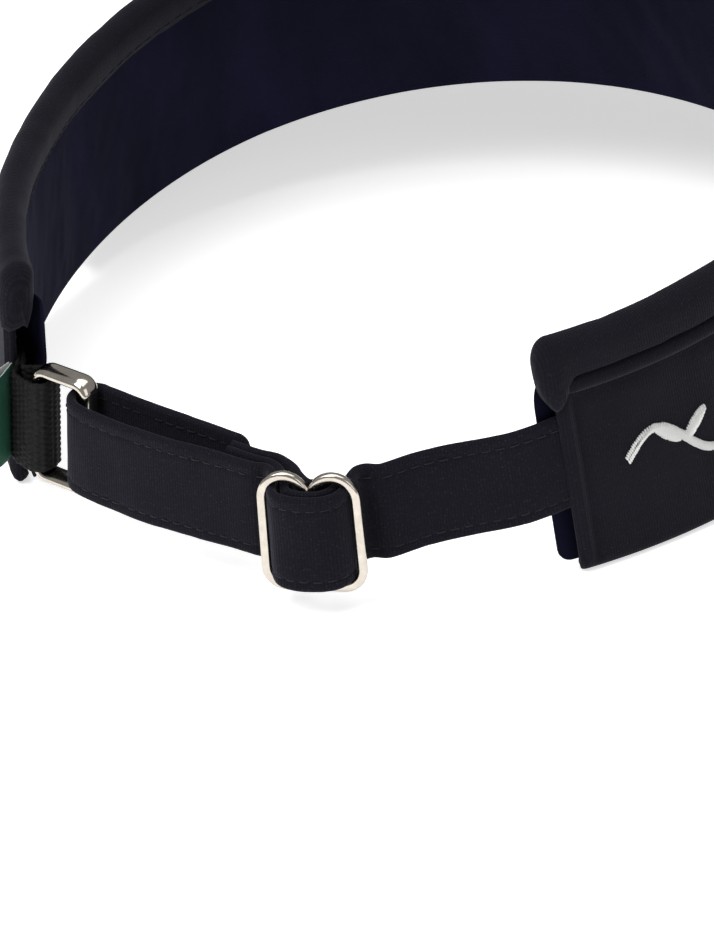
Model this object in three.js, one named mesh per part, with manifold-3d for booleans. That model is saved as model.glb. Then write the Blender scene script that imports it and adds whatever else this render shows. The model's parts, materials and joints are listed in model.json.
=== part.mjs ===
// A sun visor: a padded fabric band round the head, open at the back, with a curved bill in front.
// The back is closed by a self-fabric strap that runs over a wire slider, round a metal ring and
// back to the slider. The ring hangs in a webbing tab on the wearer's left.
//
// Millimetres. The visor stands on a table: +Z is up, the bill points to -Y, +X is the wearer's left.
// The band is drawn upright in its own group first, and the group is then leaned back by REST_TILT.
// In the band's own frame an angle of 0 is the middle of the back, 90 the left temple, 180 the front.

import * as THREE from "three";
import { mergeVertices } from "three/addons/utils/BufferGeometryUtils.js";
import Module from "manifold-3d";

const wasm = await Module();
wasm.setup();

// ---------- driving dimensions ----------
const GAP = 0.3; // clearance left between touching pieces
const REST_TILT = 6.5; // degrees that the band's axis leans back when the visor stands on a table

// head loop, measured at the inner face of the band's bottom edge
const HALF_WIDTH = 84.1;
const HALF_DEPTH = 95.2;
const BACK_NARROWING = 0.19; // the loop is narrower behind the ears than in front of them
const BAND_END = 50.4; // angle where each end of the band stops
const SEAM_ANGLE = 120; // angle of the seams between the side panels and the front panel
const PANEL_SEAM = 0.2; // degrees taken from a panel's end, for the seam gap
const HEIGHT_END = 48;
const HEIGHT_FRONT = 53.4;
const SIDE_DIP = -10.4; // the bottom edge runs lower over the ears
const LEAN_FRONT = 11.4; // degrees that the band leans in towards its top edge
const LEAN_BACK = 4.2;

// layers of the band, as distances outwards from the loop
const LINING = [-0.5, 0.2];
const CORE = [0.5, 2.7];
const FRONT_FOAM = [0.5, 1.7];
const BUCKRAM = [2.0, 2.7];
const SHELL = [3.0, 3.7];
const LINING_RAISE = 0.8; // the lining stops short of the bottom edge
const LINING_OVERHANG = 1.6; // degrees that it shows past the outer panels
const POCKET = 11; // degrees at each end without foam, where the strap and the tab are sewn in
const PANEL_DROP = 7.1; // the layers stop this far under the top edge, inside the roll
const SWEEP_STEP = 6.5; // degrees between the stations of everything swept round the band

// padded roll along the top edge
const ROLL_MIDDLE = 1.3;
const ROLL_DEPTH = 3.4; // its centre is this far under the top edge
const ROLL_RADIUS = 3.4;
const ROLL_CLOTH = 0.8;
const ROLL_INNER_LEG = 10.0;
const ROLL_OUTER_LEG = 6.6;
const PIPING_RADIUS = 0.8;
const PIPING_DROP = 8.2;

// bill
const BILL_HALF_ANGLE = 76; // half of the front seam, as an angle of the loop
const BILL_LENGTH = 70; // from the band's outer face to the tip, seen from above
const BILL_HALF_WIDTH = 94;
const BILL_BACK_Y = -24; // where the bill is widest
const BILL_EDGE_SWEEP = 88; // degrees of the outer edge's superellipse on each side
const BILL_SQUARENESS = 2.5;
const BILL_SLOPE = 11; // degrees down towards the tip
const BILL_LIFT = 0.5; // the middle of the bill's thickness over the band's bottom edge
const BOARD_HALF = 0.8;
const COVER = [1.1, 1.7];
const BILL_LIP = 0.9;

// closure: the strap follows an arc round the head, centred at (0, CLOSURE_Y)
const CLOSURE_RADIUS = 83.3;
const CLOSURE_Y = -0.35;
const CLOSURE_LEAN = 8;
const END_LEAN = 5.5;
const STRAP_WIDTH = 19;
const STRAP_THICKNESS = 1.9;
const STRAP_BOTTOM = 2.1; // height of the strap's lower edge from the ring to the slider
const STRAP_BOTTOM_END = 6.2; // and where it leaves the right end of the band
const LOOP_PLY = 1.6;
const LOOP_WIDTH = 15.5; // the sewn loop is pressed down to pass under the slider's V
const MID_HEIGHT = 11.8; // height at which the closure's plan is drawn

// wire slider with two humps over a V
const SLIDER_ANGLE = -11;
const SLIDER_OFFSET = 6.6;
const SLIDER_HALF_WIDTH = 9.9;
const SLIDER_HEIGHT = 23.7;
const WIRE = 1.6;
const SLIDER_CORNER = 4.5;
const HUMP_RADIUS = 5.1;

// ring and its webbing tab
const RING_LEFT = [37, -0.4]; // the ring's two upright bars, as angle and offset on the closure's arc
const RING_RIGHT = [28.3, -4.1];
const RING_HEIGHT = 24.4;
const RING_BAR = 2.2;
const RING_DEPTH = 4.4;
const RING_CORNER = 3.6;
const WEBBING_WIDTH = 19;
const WEBBING_PLY = 1.0;
const LABEL_HEIGHT = 19;
const LABEL_LENGTH = 7.4;
const LABEL_CLOTH = 0.5;

// embroidered vine on the right side panel
const VINE_FROM = -58;
const VINE_TO = -98;
const VINE_LENGTH = 62;
const VINE_SWAY = 4.5;
const VINE_WAVES = 2.5;
const LEAF = [3.6, 1.5]; // half length and half width of a leaf
const VINE_STROKE = 1.7;
const VINE_HEIGHT = 20;
const VINE_RELIEF = 0.5;

// ---------- materials ----------
const clothBlack = 0x15151d;
const satinNavy = 0x191b33;
const nickel = 0xd8d0c2;

function finish(color, roughness, metalness = 0) {
  return new THREE.MeshStandardMaterial({ color, roughness, metalness });
}

// ---------- maths of the head loop ----------
const radians = THREE.MathUtils.degToRad;

function loopPlan(angle) {
  const a = radians(angle);
  const x = HALF_WIDTH * Math.sin(a) * (1 - BACK_NARROWING * Math.cos(a));
  return new THREE.Vector2(x, HALF_DEPTH * Math.cos(a));
}

function loopNormal(angle) {
  const ahead = loopPlan(angle + 0.1).sub(loopPlan(angle - 0.1)).normalize();
  return new THREE.Vector2(-ahead.y, ahead.x);
}

function bandHeight(angle) {
  const away = Math.min(Math.abs(angle), 360 - Math.abs(angle));
  const along = THREE.MathUtils.clamp((away - BAND_END) / (180 - BAND_END), 0, 1);
  return HEIGHT_END + ((HEIGHT_FRONT - HEIGHT_END) * (1 - Math.cos(along * Math.PI))) / 2;
}

function bandLean(angle) {
  const back = (Math.cos(radians(angle)) + 1) / 2;
  return radians(LEAN_FRONT + (LEAN_BACK - LEAN_FRONT) * back);
}

function bandBottom(angle) {
  return SIDE_DIP * Math.sin(radians(angle)) ** 2 - (1 - Math.cos(radians(angle))) / 2;
}

// a point of the band: angle round the head, distance outwards, height along the leaning wall
function bandPoint(angle, offset, height) {
  const lean = bandLean(angle);
  const out = offset - height * Math.sin(lean);
  const plan = loopPlan(angle).addScaledVector(loopNormal(angle), out);
  return new THREE.Vector3(plan.x, plan.y, bandBottom(angle) + height * Math.cos(lean));
}

// ---------- making meshes ----------
function signedVolume(geometry) {
  const p = geometry.attributes.position;
  const index = geometry.index.array;
  const [a, b, c] = [new THREE.Vector3(), new THREE.Vector3(), new THREE.Vector3()];
  let sum = 0;
  for (let i = 0; i < index.length; i += 3) {
    a.fromBufferAttribute(p, index[i]);
    b.fromBufferAttribute(p, index[i + 1]);
    c.fromBufferAttribute(p, index[i + 2]);
    sum += a.dot(b.cross(c));
  }
  return sum / 6;
}

// moves every vertex by place(x, y, z) and turns the faces to point out
function bend(geometry, place) {
  const bare = geometry.clone();
  bare.deleteAttribute("normal");
  bare.deleteAttribute("uv");
  const p = bare.attributes.position;
  for (let i = 0; i < p.count; i += 1) {
    const moved = place(p.getX(i), p.getY(i), p.getZ(i));
    p.setXYZ(i, moved.x, moved.y, moved.z);
  }
  const bent = mergeVertices(bare, 1e-4);
  if (signedVolume(bent) < 0) {
    bent.setIndex(Array.from(bent.index.array).reverse());
  }
  bent.computeVertexNormals();
  return bent;
}

// drops the doubled point where one arc of an outline ends and the next begins
function withoutDoubles(points) {
  return points.filter((p, i) => p.distanceTo(points[(i + 1) % points.length]) > 1e-3);
}

function extrude(outline, depth, steps = 1, curveSegments = 8) {
  const drawn = outline.extractPoints(curveSegments);
  const shape = new THREE.Shape(withoutDoubles(drawn.shape));
  shape.holes = drawn.holes.map((hole) => new THREE.Path(withoutDoubles(hole)));
  return new THREE.ExtrudeGeometry(shape, { depth, steps, bevelEnabled: false });
}

function solidOf(geometry) {
  const bare = bend(geometry, (x, y, z) => new THREE.Vector3(x, y, z));
  const vertProperties = new Float32Array(bare.attributes.position.array);
  const triVerts = new Uint32Array(bare.index.array);
  return new wasm.Manifold(new wasm.Mesh({ numProp: 3, vertProperties, triVerts }));
}

function geometryOf(solid) {
  const joined = solid.getMesh();
  const geometry = new THREE.BufferGeometry();
  geometry.setAttribute("position", new THREE.BufferAttribute(joined.vertProperties, 3));
  geometry.setIndex(Array.from(joined.triVerts));
  return geometry;
}

const visor = new THREE.Group();
const band = new THREE.Group();
visor.add(band);

function addPiece(name, geometry, material) {
  const mesh = new THREE.Mesh(geometry, material);
  mesh.name = name;
  band.add(mesh);
}

function rectangle(x0, x1, y0, y1) {
  const shape = new THREE.Shape();
  shape.moveTo(x0, y0);
  shape.lineTo(x1, y0);
  shape.lineTo(x1, y1);
  shape.lineTo(x0, y1);
  return shape;
}

// one layer of the band between two angles: layer = [inner, outer] distance from the loop
function panel(layer, from, to, raise = 0) {
  const steps = Math.round((to - from) / SWEEP_STEP);
  const box = extrude(rectangle(layer[0], layer[1], 0, 1), 1, steps);
  return bend(box, (offset, up, along) => {
    const angle = from + (to - from) * along;
    return bandPoint(angle, offset, raise + (bandHeight(angle) - PANEL_DROP - raise) * up);
  });
}

// a profile, drawn as (distance outwards, distance above the top edge), swept round the band
function sweepTopEdge(profile, from, to, curveSegments) {
  const steps = Math.round((to - from) / SWEEP_STEP);
  return bend(extrude(profile, 1, steps, curveSegments), (offset, above, along) => {
    const angle = from + (to - from) * along;
    return bandPoint(angle, offset, bandHeight(angle) + above);
  });
}

// ---------- band ----------
const backFrom = BAND_END;
const backTo = 360 - BAND_END;
const sidePanels = {
  left: [BAND_END, SEAM_ANGLE - PANEL_SEAM],
  right: [360 - SEAM_ANGLE + PANEL_SEAM, 360 - BAND_END],
};
for (const [side, [from, to]] of Object.entries(sidePanels)) {
  const foamFrom = side === "left" ? from + POCKET : from;
  const foamTo = side === "left" ? to : to - POCKET;
  addPiece(`shell_${side}`, panel(SHELL, from, to), finish(clothBlack, 0.92));
  addPiece(`foam_${side}`, panel(CORE, foamFrom, foamTo, LINING_RAISE), finish(0xcfcfca, 0.95));
}
addPiece("shell_front", panel(SHELL, SEAM_ANGLE, 360 - SEAM_ANGLE), finish(clothBlack, 0.92));
addPiece(
  "foam_front",
  panel(FRONT_FOAM, SEAM_ANGLE, 360 - SEAM_ANGLE, LINING_RAISE),
  finish(0xcfcfca, 0.95),
);
addPiece(
  "front_buckram",
  panel(BUCKRAM, SEAM_ANGLE, 360 - SEAM_ANGLE, LINING_RAISE),
  finish(0xe6e3da, 0.9),
);
addPiece(
  "lining",
  panel(
    LINING,
    BAND_END - LINING_OVERHANG,
    360 - BAND_END + LINING_OVERHANG,
    LINING_RAISE,
  ),
  finish(satinNavy, 0.5),
);

function rollCover() {
  const outer = ROLL_RADIUS;
  const inner = ROLL_RADIUS - ROLL_CLOTH;
  const shape = new THREE.Shape();
  shape.moveTo(-1.7, -ROLL_INNER_LEG);
  shape.lineTo(-0.9, -ROLL_INNER_LEG);
  shape.lineTo(ROLL_MIDDLE - inner, -6.5);
  shape.lineTo(ROLL_MIDDLE - inner, -ROLL_DEPTH);
  shape.absarc(ROLL_MIDDLE, -ROLL_DEPTH, inner, Math.PI, 0, true);
  shape.lineTo(3.85, -ROLL_OUTER_LEG);
  shape.lineTo(4.65, -ROLL_OUTER_LEG);
  shape.lineTo(ROLL_MIDDLE + outer, -ROLL_DEPTH);
  shape.absarc(ROLL_MIDDLE, -ROLL_DEPTH, outer, 0, Math.PI, false);
  shape.lineTo(ROLL_MIDDLE - outer, -6.5);
  return shape;
}

function rollCore() {
  const radius = ROLL_RADIUS - ROLL_CLOTH - GAP;
  const shape = new THREE.Shape();
  shape.absarc(ROLL_MIDDLE, -ROLL_DEPTH, radius, 0, Math.PI, false);
  shape.lineTo(ROLL_MIDDLE - radius + 0.4, -PANEL_DROP + 0.4);
  shape.lineTo(ROLL_MIDDLE + radius - 0.4, -PANEL_DROP + 0.4);
  return shape;
}

function pipingProfile() {
  const shape = new THREE.Shape();
  shape.absarc(SHELL[1] + GAP + PIPING_RADIUS, -PIPING_DROP, PIPING_RADIUS, 0, 2 * Math.PI, false);
  return shape;
}

addPiece("top_roll_cover", sweepTopEdge(rollCover(), backFrom, backTo, 4), finish(clothBlack, 0.92));
addPiece("top_roll_foam", sweepTopEdge(rollCore(), backFrom, backTo, 4), finish(0xcfcfca, 0.95));
addPiece("top_piping", sweepTopEdge(pipingProfile(), backFrom, backTo, 3), finish(clothBlack, 0.9));

// ---------- bill ----------
const billSeamOffset = SHELL[1] + GAP;
const billCorner = bandPoint(180 - BILL_HALF_ANGLE, billSeamOffset, 0);

function billSlope(y) {
  return bandBottom(180) + BILL_LIFT + (y + HALF_DEPTH) * Math.tan(radians(BILL_SLOPE));
}

// the arch drops the sheet so far that it meets the band's bottom edge at the bill's corners
const billArch = (billSlope(billCorner.y) - billCorner.z - BILL_LIFT) / billCorner.x ** 2;

function billSheet(x, y) {
  return billSlope(y) - billArch * x ** 2;
}

// across runs from -1 to 1 over the bill, out from 0 at the seam to 1 at the edge and then in mm
function billPoint(across, out, rise) {
  const seam = bandPoint(180 + across * BILL_HALF_ANGLE, billSeamOffset, 0);
  const sweep = radians(across * BILL_EDGE_SWEEP);
  const power = 2 / BILL_SQUARENESS;
  const depth = BILL_LENGTH + HALF_DEPTH + billSeamOffset + BILL_BACK_Y;
  const [sine, cosine] = [Math.abs(Math.sin(sweep)), Math.cos(sweep)];
  const side = -Math.sign(across);
  const edge = new THREE.Vector2(
    side * BILL_HALF_WIDTH * sine ** power,
    BILL_BACK_Y - depth * cosine ** power,
  );
  const edgeNormal = new THREE.Vector2(
    (side * sine ** (2 - power)) / BILL_HALF_WIDTH,
    -(cosine ** (2 - power)) / depth,
  );
  const part = Math.min(out, 1);
  const plan = new THREE.Vector2(seam.x, seam.y).lerp(edge, part);
  plan.addScaledVector(edgeNormal.normalize(), Math.max(out - 1, 0));
  const seamStep = seam.z + BILL_LIFT - billSheet(seam.x, seam.y);
  const z = billSheet(plan.x, plan.y) + seamStep * (1 - part) ** 2;
  return new THREE.Vector3(plan.x, plan.y, z + rise);
}

const billStations = [0, 0.12, 0.45, 1]; // across the bill, denser where it curves up to its seam

function billLayer(section) {
  const steps = 39;
  return bend(extrude(section, 2, steps), (out, rise, along) => billPoint(along - 1, out, rise));
}

function billSection(outline) {
  const shape = new THREE.Shape();
  outline.forEach(([out, rise], i) => (i ? shape.lineTo(out, rise) : shape.moveTo(out, rise)));
  return shape;
}

function slab(low, high, shorten) {
  const stations = billStations.map((out) => out * (1 - shorten));
  const under = stations.map((out) => [out, low]);
  const over = stations.map((out) => [out, high]).reverse();
  return billSection([...under, ...over]);
}

// the upper cover turns down round the board's edge
function upperCoverSection() {
  const lipIn = 1 + GAP;
  const lipOut = lipIn + BILL_LIP;
  const lip = [[lipIn, COVER[0]], [lipIn, -COVER[0]], [lipOut, -COVER[0]], [lipOut, COVER[1]]];
  const under = billStations.map((out) => [out, COVER[0]]);
  const over = billStations.map((out) => [out, COVER[1]]).reverse();
  return billSection([...under, ...lip, ...over]);
}

addPiece("bill_upper_cover", billLayer(upperCoverSection()), finish(clothBlack, 0.92));
addPiece("bill_board", billLayer(slab(-BOARD_HALF, BOARD_HALF, 0)), finish(0xe9e9e4, 0.5));
addPiece(
  "bill_lower_cover",
  billLayer(slab(-COVER[1], -COVER[0], GAP / BILL_LENGTH)),
  finish(clothBlack, 0.92),
);

// ---------- closure: flat ribbons drawn in plan and raised to the strap's width ----------
function arcPlan(angle, offset) {
  const a = radians(angle);
  const r = CLOSURE_RADIUS + offset;
  return new THREE.Vector2(r * Math.sin(a), CLOSURE_Y + r * Math.cos(a));
}

// the plan point of the band's wall at the closure's mid height
function wallPlan(angle, offset) {
  const away = (MID_HEIGHT - bandBottom(angle)) / Math.cos(bandLean(angle));
  const p = bandPoint(angle, offset, away);
  return new THREE.Vector2(p.x, p.y);
}

// the slider's own plan: mm along it towards the left, mm outwards from the closure's arc
const sliderCentre = arcPlan(SLIDER_ANGLE, 0);
const sliderOut = sliderCentre.clone().sub(new THREE.Vector2(0, CLOSURE_Y)).normalize();
const sliderLeft = new THREE.Vector2(sliderOut.y, -sliderOut.x);

function sliderPlan(left, out) {
  return sliderCentre.clone().addScaledVector(sliderLeft, left).addScaledVector(sliderOut, out);
}

// a ribbon's outline: a smooth centre line through the points, with half the thickness each side
function ribbon(points, thickness, segments) {
  const line = new THREE.SplineCurve(points);
  const sides = [[], []];
  for (let i = 0; i <= segments; i += 1) {
    const p = line.getPoint(i / segments);
    const ahead = line.getTangent(i / segments);
    const normal = new THREE.Vector2(-ahead.y, ahead.x);
    sides[0].push(p.clone().addScaledVector(normal, thickness / 2));
    sides[1].unshift(p.clone().addScaledVector(normal, -thickness / 2));
  }
  return new THREE.Shape([...sides[0], ...sides[1]]);
}

function leanOut(x, y, z, lean) {
  const out = new THREE.Vector2(x, y - CLOSURE_Y).normalize();
  const shift = -(z - MID_HEIGHT) * Math.tan(radians(lean));
  return new THREE.Vector3(x + out.x * shift, y + out.y * shift, z);
}

// raises a plan outline to a width from its lower edge; bottomAt gives that edge's height
function raise(shape, width, bottomAt, lean) {
  return bend(extrude(shape, width), (x, y, up) => leanOut(x, y, bottomAt(x) + up, lean));
}

const levelBottom = () => STRAP_BOTTOM;
const strapStuff = finish(clothBlack, 0.9);
const sliderSide = sliderPlan(-12, 0).x;
const rightEnd = wallPlan(-BAND_END, 0).x;

function risingBottom(x) {
  const along = THREE.MathUtils.clamp((x - sliderSide) / (rightEnd - sliderSide), 0, 1.2);
  return STRAP_BOTTOM + (STRAP_BOTTOM_END - STRAP_BOTTOM) * along;
}

const coreMiddle = (CORE[0] + CORE[1]) / 2;
const rightRun = [
  wallPlan(-BAND_END - 7.5, coreMiddle),
  wallPlan(-BAND_END - 3, coreMiddle),
  wallPlan(-BAND_END, coreMiddle),
  arcPlan(-37, 0.1),
  arcPlan(-30, -1.9),
  arcPlan(-24, -2.0),
  sliderPlan(-12.3, -1.1),
];
const overBar = [
  sliderPlan(-12, -1.0),
  sliderPlan(-9.2, 0.2),
  sliderPlan(-7.2, 2.6),
  sliderPlan(-5.95, 5.8),
  sliderPlan(-5.7, 7.6),
  sliderPlan(-4.6, 9.5),
  sliderPlan(-2.5, 10.5),
  sliderPlan(0, 10.8),
  sliderPlan(2.5, 10.5),
  sliderPlan(4.6, 9.5),
  sliderPlan(5.7, 7.6),
  sliderPlan(5.95, 5.8),
  sliderPlan(7.2, 2.6),
  sliderPlan(9.2, 0.3),
  sliderPlan(12, -0.3),
];
const frontLayer = [
  sliderPlan(12.4, -0.4),
  arcPlan(2, -0.8),
  arcPlan(12, -1.4),
  arcPlan(18.8, -1.1),
  arcPlan(27.2, -0.3),
];
const ringFold = [
  arcPlan(27.5, -0.25),
  arcPlan(29.2, -0.6),
  arcPlan(30.6, -2.0),
  arcPlan(31.1, -4.1),
  arcPlan(30.6, -6.2),
  arcPlan(29.2, -7.6),
  arcPlan(27.5, -8.0),
];
const backLayer = [
  arcPlan(27.2, -8.05),
  arcPlan(22, -9.0),
  arcPlan(15, -9.4),
  arcPlan(8, -8.9),
  arcPlan(0.8, -7.3),
];
const sewnLoop = [
  arcPlan(6, -3.7),
  sliderPlan(12, -2.7),
  sliderPlan(9, -1.8),
  sliderPlan(6, 0.4),
  sliderPlan(4, 3.0),
  sliderPlan(2.6, 6.0),
  sliderPlan(1.35, 8.0),
  sliderPlan(0, 8.55),
  sliderPlan(-1.4, 8.0),
  sliderPlan(-1.95, 6.6),
  sliderPlan(-1.4, 5.2),
  sliderPlan(0, 4.6),
  sliderPlan(1.2, 3.2),
  sliderPlan(2.4, 1.5),
  sliderPlan(4.6, -1.2),
  sliderPlan(8.1, -3.8),
  sliderPlan(12, -4.9),
  arcPlan(6, -5.7),
];
addPiece(
  "strap_right_run",
  raise(ribbon(rightRun, STRAP_THICKNESS, 14), STRAP_WIDTH, risingBottom, END_LEAN),
  strapStuff.clone(),
);
const levelRibbons = {
  strap_over_bar: [overBar, STRAP_THICKNESS, 26, STRAP_WIDTH],
  strap_front_layer: [frontLayer, STRAP_THICKNESS, 12, STRAP_WIDTH],
  strap_ring_fold: [ringFold, STRAP_THICKNESS, 12, STRAP_WIDTH],
  strap_back_layer: [backLayer, STRAP_THICKNESS, 10, STRAP_WIDTH],
  strap_sewn_loop: [sewnLoop, LOOP_PLY, 44, LOOP_WIDTH],
};
for (const [name, [points, thickness, segments, width]] of Object.entries(levelRibbons)) {
  const outline = ribbon(points, thickness, segments);
  addPiece(name, raise(outline, width, levelBottom, CLOSURE_LEAN), strapStuff.clone());
}

// ---------- slider ----------
function sliderOutline() {
  const w = SLIDER_HALF_WIDTH;
  const c = SLIDER_CORNER;
  const humpX = w - HUMP_RADIUS;
  const humpY = SLIDER_HEIGHT - HUMP_RADIUS;
  const vee = Math.acos(humpX / HUMP_RADIUS);
  const shape = new THREE.Shape();
  shape.moveTo(-w + c, 0);
  shape.lineTo(w - c, 0);
  shape.absarc(w - c, c, c, -Math.PI / 2, 0, false);
  shape.absarc(humpX, humpY, HUMP_RADIUS, 0, Math.PI - vee, false);
  shape.absarc(-humpX, humpY, HUMP_RADIUS, vee, Math.PI, false);
  shape.absarc(-w + c, c, c, Math.PI, 1.5 * Math.PI, false);
  return shape;
}

function sliderWindow(side) {
  const inner = WIRE / 2;
  const w = SLIDER_HALF_WIDTH - WIRE;
  const c = SLIDER_CORNER - WIRE;
  const humpX = SLIDER_HALF_WIDTH - HUMP_RADIUS;
  const humpY = SLIDER_HEIGHT - HUMP_RADIUS;
  const r = HUMP_RADIUS - WIRE;
  const opening = new THREE.Shape();
  opening.moveTo(side * inner, WIRE);
  opening.lineTo(side * (w - c), WIRE);
  opening.absarc(side * (w - c), WIRE + c, c, -Math.PI / 2, side > 0 ? 0 : -Math.PI, side < 0);
  opening.absarc(side * humpX, humpY, r, side > 0 ? 0 : Math.PI, side > 0 ? Math.PI : 0, side < 0);
  opening.lineTo(side * inner, humpY - WIRE / 2);
  return opening;
}

function sliderGeometry() {
  let plate = solidOf(extrude(sliderOutline(), WIRE, 1, 6));
  for (const side of [-1, 1]) {
    const opening = extrude(sliderWindow(side), 3 * WIRE, 1, 6).translate(0, 0, -WIRE);
    plate = plate.subtract(solidOf(opening));
  }
  const bottom = MID_HEIGHT - SLIDER_HEIGHT / 2;
  return bend(geometryOf(plate), (left, up, out) => {
    const p = sliderPlan(left, SLIDER_OFFSET - WIRE / 2 + out);
    return leanOut(p.x, p.y, bottom + up, CLOSURE_LEAN);
  });
}

addPiece("slider", sliderGeometry(), finish(nickel, 0.22, 1));

// ---------- ring ----------
const ringLeft = arcPlan(...RING_LEFT);
const ringRight = arcPlan(...RING_RIGHT);
const ringAcross = ringRight.clone().sub(ringLeft);
const ringSpan = ringAcross.length();
ringAcross.normalize();
const ringOut = new THREE.Vector2(-ringAcross.y, ringAcross.x).multiplyScalar(-1);

function ringPlan(across, out) {
  return ringLeft.clone().addScaledVector(ringAcross, across).addScaledVector(ringOut, out);
}

function roundedLoop(x0, x1, y0, y1, corner) {
  const path = new THREE.Shape();
  path.absarc(x1 - corner, y0 + corner, corner, -Math.PI / 2, 0, false);
  path.absarc(x1 - corner, y1 - corner, corner, 0, Math.PI / 2, false);
  path.absarc(x0 + corner, y1 - corner, corner, Math.PI / 2, Math.PI, false);
  path.absarc(x0 + corner, y0 + corner, corner, Math.PI, 1.5 * Math.PI, false);
  return path;
}

function ringGeometry() {
  const half = RING_BAR / 2;
  const low = MID_HEIGHT - RING_HEIGHT / 2;
  const high = MID_HEIGHT + RING_HEIGHT / 2;
  const shape = roundedLoop(-half, ringSpan + half, low, high, RING_CORNER);
  const bore = RING_CORNER - RING_BAR;
  shape.holes.push(roundedLoop(half, ringSpan - half, low + RING_BAR, high - RING_BAR, bore));
  return bend(extrude(shape, RING_DEPTH, 1, 5), (across, up, depth) => {
    const p = ringPlan(across, depth - RING_DEPTH / 2);
    return leanOut(p.x, p.y, up, CLOSURE_LEAN);
  });
}

addPiece("ring", ringGeometry(), finish(nickel, 0.15, 1));

// ---------- webbing tab: sewn-in end, and the loop round the ring's left bar ----------
const webbingStuff = finish(0x0f0f10, 0.75);
const webbingBottom = () => MID_HEIGHT - WEBBING_WIDTH / 2;
const tabRoot = [
  wallPlan(BAND_END + 7.5, coreMiddle),
  wallPlan(BAND_END + 4, coreMiddle),
  wallPlan(BAND_END + 0.3, coreMiddle),
];
addPiece(
  "webbing_tab_end",
  raise(ribbon(tabRoot, 2 * WEBBING_PLY, 5), WEBBING_WIDTH, webbingBottom, END_LEAN),
  webbingStuff.clone(),
);

const tabStart = wallPlan(BAND_END - 0.3, coreMiddle);
const hang = RING_DEPTH / 2 + GAP + WEBBING_PLY / 2;
const tabLoop = [
  tabStart.clone().addScaledVector(ringOut, 0.65),
  ringPlan(-5.5, 1.6),
  ringPlan(-2.4, hang - 0.3),
  ringPlan(0, hang + 0.1),
  ringPlan(1.9, hang - 0.4),
  ringPlan(2.8, 1.6),
  ringPlan(3.0, 0),
  ringPlan(2.8, -1.6),
  ringPlan(1.9, 0.4 - hang),
  ringPlan(0, -hang - 0.1),
  ringPlan(-2.4, 0.3 - hang),
  ringPlan(-5.5, -1.2),
  tabStart.clone().addScaledVector(ringOut, -0.65),
];
addPiece(
  "webbing_tab_loop",
  raise(ribbon(tabLoop, WEBBING_PLY, 34), WEBBING_WIDTH, webbingBottom, CLOSURE_LEAN),
  webbingStuff.clone(),
);

// ---------- folded label in the left end seam ----------
const labelRoot = wallPlan(BAND_END - 0.6, SHELL[1] + 0.6);
const labelOut = loopNormal(BAND_END);
const labelAlong = new THREE.Vector2(-labelOut.y, labelOut.x);

function labelPlan(out, along) {
  const direction = labelOut.clone().add(labelAlong).normalize();
  const side = new THREE.Vector2(-direction.y, direction.x);
  return labelRoot.clone().addScaledVector(direction, out).addScaledVector(side, along);
}

const labelLoop = [
  labelPlan(0, -0.45),
  labelPlan(LABEL_LENGTH * 0.5, -0.9),
  labelPlan(LABEL_LENGTH * 0.85, -0.9),
  labelPlan(LABEL_LENGTH, 0),
  labelPlan(LABEL_LENGTH * 0.85, 0.9),
  labelPlan(LABEL_LENGTH * 0.5, 0.9),
  labelPlan(0, 0.45),
];
const labelBottom = () => MID_HEIGHT - LABEL_HEIGHT / 2;
addPiece(
  "label",
  raise(ribbon(labelLoop, LABEL_CLOTH, 18), LABEL_HEIGHT, labelBottom, END_LEAN),
  finish(0x0b4a35, 0.6),
);

// ---------- embroidered vine, joined into one raised body ----------
function leaf(x, y, turn) {
  const shape = new THREE.Shape();
  shape.absellipse(x, y, LEAF[0], LEAF[1], 0, 2 * Math.PI, false, turn);
  return extrude(shape, VINE_RELIEF, 1, 5);
}

function vineGeometry() {
  const sway = (x) => VINE_SWAY * Math.sin((x / VINE_LENGTH) * VINE_WAVES * 2 * Math.PI);
  const points = [];
  for (let i = 0; i <= VINE_WAVES * 8; i += 1) {
    const x = (i / (VINE_WAVES * 8)) * VINE_LENGTH;
    points.push(new THREE.Vector2(x, sway(x)));
  }
  let solid = solidOf(extrude(ribbon(points, VINE_STROKE, VINE_WAVES * 14), VINE_RELIEF));
  for (let i = 1; i < VINE_WAVES * 4; i += 1) {
    const x = (i / (VINE_WAVES * 4)) * VINE_LENGTH;
    const side = i % 2 ? -1 : 1;
    const turn = side * 0.7;
    const reach = LEAF[0] * 0.85;
    const middle = [x + reach * Math.cos(turn), sway(x) + reach * Math.sin(turn)];
    solid = solid.add(solidOf(leaf(...middle, turn)));
  }
  return geometryOf(solid);
}

addPiece(
  "embroidery",
  bend(vineGeometry(), (x, y, z) => {
    const angle = VINE_FROM + ((VINE_TO - VINE_FROM) * x) / VINE_LENGTH;
    return bandPoint(angle, SHELL[1] + GAP + z, VINE_HEIGHT + y);
  }),
  finish(0xf2f2ee, 0.5),
);

// ---------- stand the visor on its table, with the origin at the bottom centre ----------
band.rotation.x = radians(-REST_TILT);
visor.updateMatrixWorld(true);
const box = new THREE.Box3().setFromObject(visor, true);
const middle = box.getCenter(new THREE.Vector3());
band.position.set(-middle.x, -middle.y, -box.min.z);
visor.updateMatrixWorld(true);

export default visor;
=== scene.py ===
"""A fabric sun visor: padded headband with a rolled top edge, curved bill, and a back strap that runs
through a wire slider and a metal ring.

Lengths are millimetres in the headband's own upright frame until Shape.build() turns them into
metres in the row frame. An angle of 0 is the middle of the back, 90 the wearer's left temple and
180 the front; the right side is given by negative angles.
"""

import json
import math

import bmesh
import bpy
import numpy as np
from mathutils import Matrix, Vector


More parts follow.
